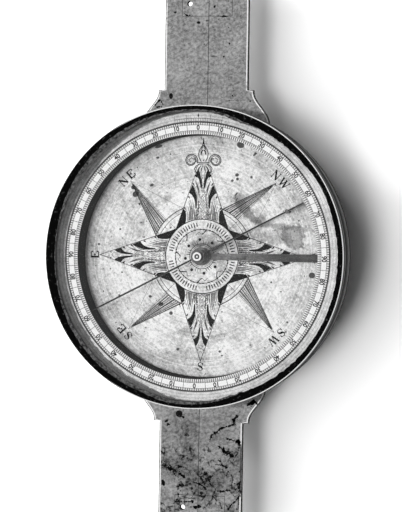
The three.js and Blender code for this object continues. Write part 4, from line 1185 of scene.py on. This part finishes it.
def drawSidePoint(black, grey, quarter):
    # the point between two main ones: one half hatched, the other outlined
    turn = 90 * quarter + 90
    tip, foot = Vector(polar(starSet["tip"], 45)), Vector(starSet["foot"])
    corner = Vector((pointSide(starSet["corner"]), starSet["corner"]))
    for start, end, width in ((corner, tip, 0.17), (corner.yx, tip, 0.14), ((20.1, 20.1), tip, 0.14),
                              ((15.7, 15.7), (19.9, 19.9), 0.2)):
        addStroke(black, [start, end], width, turn)
    for i in range(8):
        start = onCircle(corner.lerp(foot, (i + 0.4) / 8))
        jitter = noise.noise(Vector((i * 1.9, quarter * 2.7, 1)))
        addStroke(black, [start, start.lerp(tip, 0.9 + 0.08 * jitter)], (0.42, 0.1), turn)
    for i in range(1, 13):
        start = onCircle(corner.lerp(foot, i / 13))
        jitter = noise.noise(Vector((i * 2.3, quarter * 3.1, 4)))
        end = start.lerp(tip, 0.93 + 0.05 * jitter)
        addStroke(grey, [start, start.lerp(end, 0.5), end], (0.3 + 0.2 * jitter, 0.24, 0.1), turn)


def drawMedallion(black, grey):
    # a roped circle, then curved vanes with a dot between each two, then a plain band of short strokes;
    # all points are (radius, degrees)
    s = medallionSet
    for i in range(s["ropeTurns"]):
        path = [polar(starSet["rope"][0] + aside, i * 360 / s["ropeTurns"] + ahead) for aside, ahead in s["ropeLine"]]
        addStroke(black, path, (0.2, 0.9 if i % 3 else 0.5, 0.2))
    for i in range(s["vanes"]):
        base = s["firstVane"] + 360 / s["vanes"] * i
        middle = base + s["between"]
        addStroke(black, [polar(radius, base + ahead) for radius, ahead in s["vane"]], (1, 0.65, 0.55, 0.65))
        addDot(black, *polar(s["dot"][0], middle), s["dot"][1])
        for petal in s["petals"]:
            addStroke(grey, [polar(radius, middle + petal + ahead) for radius, ahead in s["petal"]], (0.6, 0.2))
        addStroke(grey, [polar(radius, middle + ahead) for radius, ahead in s["arch"]], (0.2, 0.5, 0.2))
    for i in range(s["bandStrokes"]):
        if i % (s["bandStrokes"] // 4) not in s["bandGaps"]:
            tall, turn = 1.2 if i % 3 else 1.6, 360 / s["bandStrokes"] * i
            addStroke(black, [polar(s["band"] - tall, turn), polar(s["band"] + tall, turn)], (0.75, 0.5))


def engraveStar():
    s = starSet
    black, grey = bmesh.new(), bmesh.new()
    for quarter in range(4):
        for draw in (drawPoint, drawRib, drawSidePoint):
            draw(black, grey, quarter)
        for radius, width, free in (s["circle"], s["innerCircle"]):
            addCircle(black, radius, width, 90 * quarter + free, 90 * quarter + 90 - free, 32)
    for radius, width in (s["medallion"], s["tips"], s["rope"], *s["hub"]):
        addCircle(grey if width < 0.13 else black, radius, width)
    drawMedallion(black, grey)
    drawLily(black, grey)
    for letter, angle in letterPlaces:
        addLetter(black, letter, angle)
    for angle in dotPlaces:
        addDot(black, *polar(s["dots"], angle), 0.4)
    addSpots(grey)
    finishEngraving("faceLines", black, faceTop + liftSet["lines"], inkBlack, "root")
    finishEngraving("faceShading", grey, faceTop + liftSet["shading"], inkGrey, "root")


# one half of the fleur-de-lis at north, as (x, y, width) points
lilyTop = (
    ((0, 70.3, 0.3), (0.25, 67, 0.7), (0.6, 66, 0.5), (2.2, 63.4, 0.5), (2.9, 61.2, 0.5), (2.6, 58.8, 0.55),
     (1.4, 56.4, 0.5)),
    ((0, 66, 0.5), (0.9, 64.4, 0.55), (1.6, 63, 0.2)), ((0.2, 63.4, 0.5), (1, 62.4, 0.85), (1.5, 60.4, 0.6)),
    ((0, 64.6, 0.15), (1.9, 62.6, 0.2), (2, 61.4, 0.15)),
)
lilyFoot = (
    ((0, 55.9, 0.45), (3, 55.7, 0.45), (3.6, 55.3, 0.45)), ((0, 55, 0.42), (2.6, 54.8, 0.42), (3.4, 54.4, 0.42)),
    ((2.4, 54.6, 0.4), (4.4, 53.6, 0.55), (5.4, 52, 0.55), (4.8, 51, 0.5), (5, 49.8, 0.4)),
    ((4.6, 50.4, 0.9), (3.6, 49.2, 0.5), (2.4, 46, 0.15)),
)
lilyShade = (
    ((1.2, 54, 0.3), (2.6, 52.4, 0.9), (3.4, 50, 0.5)), ((0.4, 54, 0.3), (1, 52, 0.7), (1.4, 49.6, 0.4)),
    ((3, 53.9, 0.2), (4.2, 52.6, 0.6), (4.3, 51, 0.3)),
)
voluteSet = {
    "centre": (7.4, 56.9), "steps": 26, "radius": 4.1, "closer": 0.07, "start": 200, "stepTurn": -17,
    "second": 0.78, "secondSteps": 22, "scroll": (7.2, 57.1), "scrollSize": (1.5, 1.4), "scrollSteps": 7,
    "scrollStart": 160, "scrollTurn": -38, "hook": (0.5, 108.862),
}


def addVolute(bm, mirror):
    # a spiral in two lines with a dark scroll inside
    s = voluteSet
    centre = Vector(s["centre"])
    spiral = [centre + Vector(polar(s["radius"] - i * s["closer"], s["start"] + i * s["stepTurn"]))
              for i in range(s["steps"])]
    addStroke(bm, spiral, 0.55, 0, mirror)
    addStroke(bm, [centre.lerp(point, s["second"]) for point in spiral[:s["secondSteps"]]], 0.42, 0, mirror)
    reach, ahead = s["hook"]
    for i in range(s["scrollSteps"]):
        turn = s["scrollStart"] + i * s["scrollTurn"]
        start = Vector(s["scroll"]) + Matrix.Diagonal(s["scrollSize"]) @ Vector(polar(1, turn))
        addStroke(bm, (start, start + Vector(polar(reach, turn + ahead))), (1.3, 0.5), 0, mirror)


def drawLily(black, grey):
    for mirror in (1, -1):
        for line in lilyTop:
            addBrush(black, line, 0, mirror)
        addVolute(black, mirror)
        for line in lilyFoot:
            addBrush(black, line, 0, mirror)
        for line in lilyShade:
            addBrush(grey, line, 0, mirror)
    addDot(black, 0, 57, 0.42)


# small dark spots on the face: x, y, radius, and for some a stretch and its turn
faceSpots = (
    (22.4, 66.4, 1.9, 1.2, -15), (-42.6, 40.5, 1.25), (-41, 36.5, 1.75, 1.15, 35), (66.3, -10, 1.7, 1.1),
    (20.5, 48.6, 1, 1.2, 20), (20.8, 46.2, 0.9), (17.7, 45.2, 0.75, 1.2, 30), (29.2, 47.4, 0.8),
    (-27.3, 65.1, 1, 2.4, 15), (31.5, 61.5, 0.6, 1.4, -20), (-18.3, -34.2, 1.1), (-24.5, -29, 1.2, 1.4),
    (-13.8, -55.6, 0.9), (11.7, -56.3, 0.7, 1.2), (13, -58.7, 0.5, 1.4), (36, -62, 0.7, 1.6, 20), (-51, -1.6, 0.55),
    (-48.7, -10.4, 0.55), (-63.2, 6.2, 0.7), (-31.2, 42, 0.8, 1.6, 20), (20.5, 34, 0.35, 4, 62), (40, 34, 0.4),
    (48, -20, 0.5), (-30, -14, 0.4), (14, 12, 0.4), (-60, -22, 0.5), (-50, -44, 0.6, 1.3), (52, -38, 0.6),
    (30, -52, 0.5), (58, 22, 0.5), (-50.2, 15.4, 0.6), (-19.2, 16.7, 0.5), (-31.2, -24.5, 0.8, 1.3),
    (-50.2, -24.2, 0.6), (-37.4, 19.6, 0.5), (52.6, 27.2, 0.6, 1.3, 30), (30.8, 60.6, 0.6, 1.6, 40),
    (-27.8, 58.4, 0.7, 1.4, 10), (-20, 60.5, 0.5), (42, -14.6, 0.6), (20.2, 37.2, 0.5, 2.6, 50),
    (-38.6, 30.8, 0.6, 1.2),
)


def addSpots(bm):
    for spot in faceSpots:
        addDot(bm, *spot)
    for i in range(70):
        a, b = noise.noise(Vector((i * 3.7, 1, 2))), noise.noise(Vector((5, i * 2.9, 7)))
        x, y = a * 120, b * 120
        if 23 < math.hypot(x, y) < 69:
            addDot(bm, x, y, 0.3 + 0.3 * abs(noise.noise(Vector((i * 1.3, 3, 9)))))


ringLines = {
    "inner": (72.05, 74.05), "outer": (77.5, 78.95), "circles": ((74.15, 0.2), (77.4, 0.2), (78.85, 0.3)),
    "numbers": (75.75, 3.9, 0.92), "tick": 0.44, "halfTick": 0.14, "innerShort": 0.9, "outerShort": 0.7,
    "tenTick": 0.24,
}


def engraveRing():
    s = ringLines
    bm = bmesh.new()
    addTicks(bm, *s["inner"], s["tick"], 0, 1, 360)
    addTicks(bm, *s["outer"], s["tick"], 0, 1, 360)
    addTicks(bm, s["inner"][0] + s["innerShort"], s["inner"][1], s["halfTick"], 0.5, 1, 360)
    addTicks(bm, s["outer"][0], s["outer"][1] - s["outerShort"], s["halfTick"], 0.5, 1, 360)
    for radius, width in s["circles"]:
        addCircle(bm, radius, width, steps=240)
    addTicks(bm, s["inner"][1], s["outer"][0], s["tenTick"], 5, 10, 36)
    radius, size, stretch = s["numbers"]
    for angle in range(0, 360, 10):
        number = min(abs(angle - 90), abs(angle - 270), abs(angle + 90))
        addText(bm, str(number), size, radius, angle, stretch)
    finishEngraving("ringLines", bm, ringTop + liftSet["lines"], inkBlack, "degree_ring")


# circles and arc: radius and width; the arc with its ticks shows the variation to both sides of north
landLines = {
    "circles": ((79.55, 0.3), (81.2, 0.1), (83.2, 0.1)), "arc": (81.4, 0.16), "reach": 10, "tick": 0.18,
    "ticks": (79.7, 81.5), "longTicks": (79.7, 83.6), "lozenge": ((0, 84.2), (0.55, 82.9), (0, 81.7), (-0.55, 82.9)),
}


def engraveLand():
    s = landLines
    start, end = 90 - s["reach"], 90 + s["reach"]
    bm = bmesh.new()
    for radius, width in s["circles"]:
        addCircle(bm, radius, width, steps=240)
    addTicks(bm, *s["ticks"], s["tick"], start, 1, 2 * s["reach"] + 1)
    addTicks(bm, *s["longTicks"], s["tick"], start, 5, 5)
    addCircle(bm, *s["arc"], start, end, 24)
    addShape(bm, s["lozenge"])
    finishEngraving("landLines", bm, ringTop + liftSet["lines"], inkBlack, "root")


seatSet = {
    "half": 15.2, "north": (143, 176), "south": (-143, -176), "line": 0.3, "middle": (1.1, 0.36),
    "middleFrom": 88.5, "middleTo": 163,
}
# spots on the arms, listed like those of the face
limbSpots = (
    (-21.3, 95.4, 1.2, 1.5, 90), (-5.1, 139.2, 0.85, 1.3), (10.5, 118.9, 0.55), (13.8, 126.7, 0.5, 1.4, -60),
    (16.1, 95.8, 0.5), (-12.4, -96, 0.6), (26.9, 92.5, 0.5), (4.4, 119.2, 0.25, 8), (-0.2, 140.2, 0.45),
    (4.5, 148.7, 0.6, 1.5, 60), (-19.4, 145.3, 0.5, 1.8, 20), (13.2, 136.2, 0.4), (-1.5, 126.3, 0.35),
    (-5, -139, 0.8), (1, -141.5, 0.9, 1.2), (-21.1, -99.1, 0.7, 2, 30), (12, -122, 0.6, 1.4), (-8, -121, 0.6),
    (17, -128, 0.5), (-14, -146, 0.6),
)


def makeLimbEdge():
    # a painted highlight line just inside the edge of the arms and shoulders
    outline = [Vector(point) for point in limbOutline() if point[0] >= 0 and point[1] > 0 and math.hypot(*point) > 88.8]
    path = []
    for i, point in enumerate(outline):
        along = (outline[min(i + 1, len(outline) - 1)] - outline[max(i - 1, 0)]).normalized()
        path.append(point + Vector((along.y, -along.x)) * 0.9)
    bm = bmesh.new()
    for turn in (0, 180):
        for mirror in (1, -1):
            addStroke(bm, path, 0.6, turn, mirror)
    finishEngraving("limbEdge", bm, plateTop + liftSet["edge"], edgeHighlightAndDirt, "root")


# corrosion and scratches on the arms: (x, y, width) points
limbMarks = (
    ((6.5, 143, 0.5), (10, 142.8, 0.9), (14, 143.1, 0.3)), ((-13.8, 144.6, 0.9), (-12.6, 143.4, 0.8),
    (-8, 143.1, 0.3)), ((-32.4, 88.6, 0.4), (-28, 93.2, 1.3), (-25.6, 89.6, 0.5)), ((-30, 88.4, 0.6),
    (-28.4, 89, 1), (-26.4, 88.9, 0.5)), ((4.6, 92.6, 0.1), (10, 94.6, 0.3), (19, 95.6, 0.1)), ((7, 90.5, 0.1),
    (14, 92.8, 0.35), (27, 93.4, 0.1)), ((23.2, -94.3, 0.3), (19.8, -97.2, 2.6), (20.7, -99.7, 1.6),
    (15.5, -101.4, 0.8), (12.5, -102.5, 1.6), (9.5, -104.8, 2.4), (6.5, -106.6, 1.2), (5.3, -111.3, 0.6)),
    ((27.9, -88, 1.2), (30.6, -86.4, 4.2), (33.4, -86.1, 2.2)), ((16.1, -108.4, 0.8), (20.4, -109.5, 1.8),
    (23, -110.2, 3.6), (24.4, -110, 4)), ((23.5, -112, 1.2), (22.7, -116.7, 0.8), (19.8, -121.5, 0.5)),
    ((10.5, -112.9, 0.5), (14.5, -115.7, 3), (18, -118.1, 2), (21, -119.3, 0.6)), ((9.4, -124.2, 0.6),
    (12.9, -124.3, 1), (16.4, -125.9, 1.3)), ((-22.9, -125.2, 1.6), (-19.4, -127.6, 3), (-15.9, -128.4, 2.2),
    (-11.9, -130.8, 1.4), (-9.2, -132.8, 1.2)), ((-14.1, -126.6, 0.6), (-12, -126.1, 1.8), (-11.1, -126.7, 0.6)),
    ((-23.5, -118.1, 1.3), (-21.5, -118.7, 0.9)), ((2.5, -129.4, 1.2), (4.3, -131, 2.4), (6.5, -131.8, 1.2),
    (8.6, -130.4, 0.4)), ((-1, -130.8, 0.5), (1.3, -133.3, 1.1), (3, -136.6, 1.3)), ((4.7, -132.7, 1.2),
    (7, -137.3, 1)), ((-4.4, -135.2, 0.5), (0, -136.3, 1.2), (2.6, -137.9, 2), (4.2, -139.6, 0.9)),
    ((-14.4, -138.4, 0.9), (-10.9, -137.2, 1.3), (-7.9, -137.1, 1.2), (-4.8, -135.2, 0.6)), ((-4.3, -141.2, 2.4),
    (-3, -142.6, 1.4)), ((1.4, -143.5, 3), (3.2, -144.3, 2.6)), ((7.9, -143.3, 1.8), (10.1, -145.3, 1.4)),
    ((-15.4, -147, 1.2), (-9.9, -147.2, 0.5), (-3.3, -146.7, 1.3)), ((-13, -142.4, 0.8), (-13.5, -146.7, 0.7)),
    ((-5.5, -150.2, 1), (-2.4, -149.9, 1.4), (1.1, -149.5, 1.2)), ((24, -127.7, 1.1), (25, -127.7, 0.9)),
    ((24.4, -133.1, 1.2), (24, -135.7, 2.8), (23.8, -137.5, 2.6), (24.4, -140, 1.6)), ((24.4, -142.1, 1.4),
    (21.9, -145.3, 0.9), (18.9, -148, 1), (16.8, -151.5, 1.6)), ((10.5, -140, 0.9), (14.4, -140, 1.2),
    (18.3, -139.2, 0.8)), ((-22, -101.4, 0.9), (-18.5, -101.2, 0.8)), ((-10.9, -96.5, 1.3), (-10.2, -97.1, 0.9)),
    ((-22.8, -135.5, 1.5), (-21.9, -138, 1.3)), ((11.4, -144.8, 0.4), (13.7, -151.2, 0.8)),
)


# painted shade: a black plug in the hole beside the box, where the floor below lies in shadow
def makeHoleDirt():
    x, y, radius = limbSet["holes"][6]
    bm = bmesh.new()
    bmesh.ops.create_cone(bm, cap_ends=True, segments=32, radius1=radius, radius2=radius, depth=1.2,
                          matrix=Matrix.Translation((x, y, plateTop - 1.1)))
    makePiece("holeDirt", bm, inkBlack, "root")


def engraveLimb():
    s = seatSet
    bm = bmesh.new()
    for end in ("north", "south"):
        near, far = s[end]
        corners = [(-s["half"], near), (s["half"], near), (s["half"], far), (-s["half"], far)]
        for i in range(4):
            addStroke(bm, [corners[i - 1], corners[i]], s["line"])
        x, width = s["middle"]
        line = [(x, s["middleFrom"]), (x, s["middleTo"])]
        addStroke(bm, line, width, 0 if near > 0 else 180)
    finishEngraving("limbLines", bm, plateTop + liftSet["shading"], inkLimb, "root")
    bm = bmesh.new()
    for spot in limbSpots:
        addDot(bm, *spot)
    for mark in limbMarks:
        addRagged(bm, mark)
    finishEngraving("limbPits", bm, plateTop + liftSet["lines"], inkBlack, "root")


engraveStar()
engraveRing()
engraveLand()
engraveLimb()
makeLimbEdge()
makeHoleDirt()
print("stage: engraving")

# the dial gets its own softer lamp, and the floor a wide one
dial = [bpy.data.objects[name] for name in ("face", "faceLines", "faceShading")]
makeSun("key", **lightSet["key"], shapes=[floor, *dial], state="EXCLUDE")
makeSun("softKey", **lightSet["softKey"], shapes=[floor], state="EXCLUDE")
for name in ("faceSharp", "faceKey"):
    makeSun(name, **lightSet[name], shapes=dial, state="INCLUDE")
for name in ("floorWide", "floorTop", "floorHigh", "floorLow"):
    makeSun(name, **lightSet[name], shapes=[floor], state="INCLUDE")
print("stage: lights")
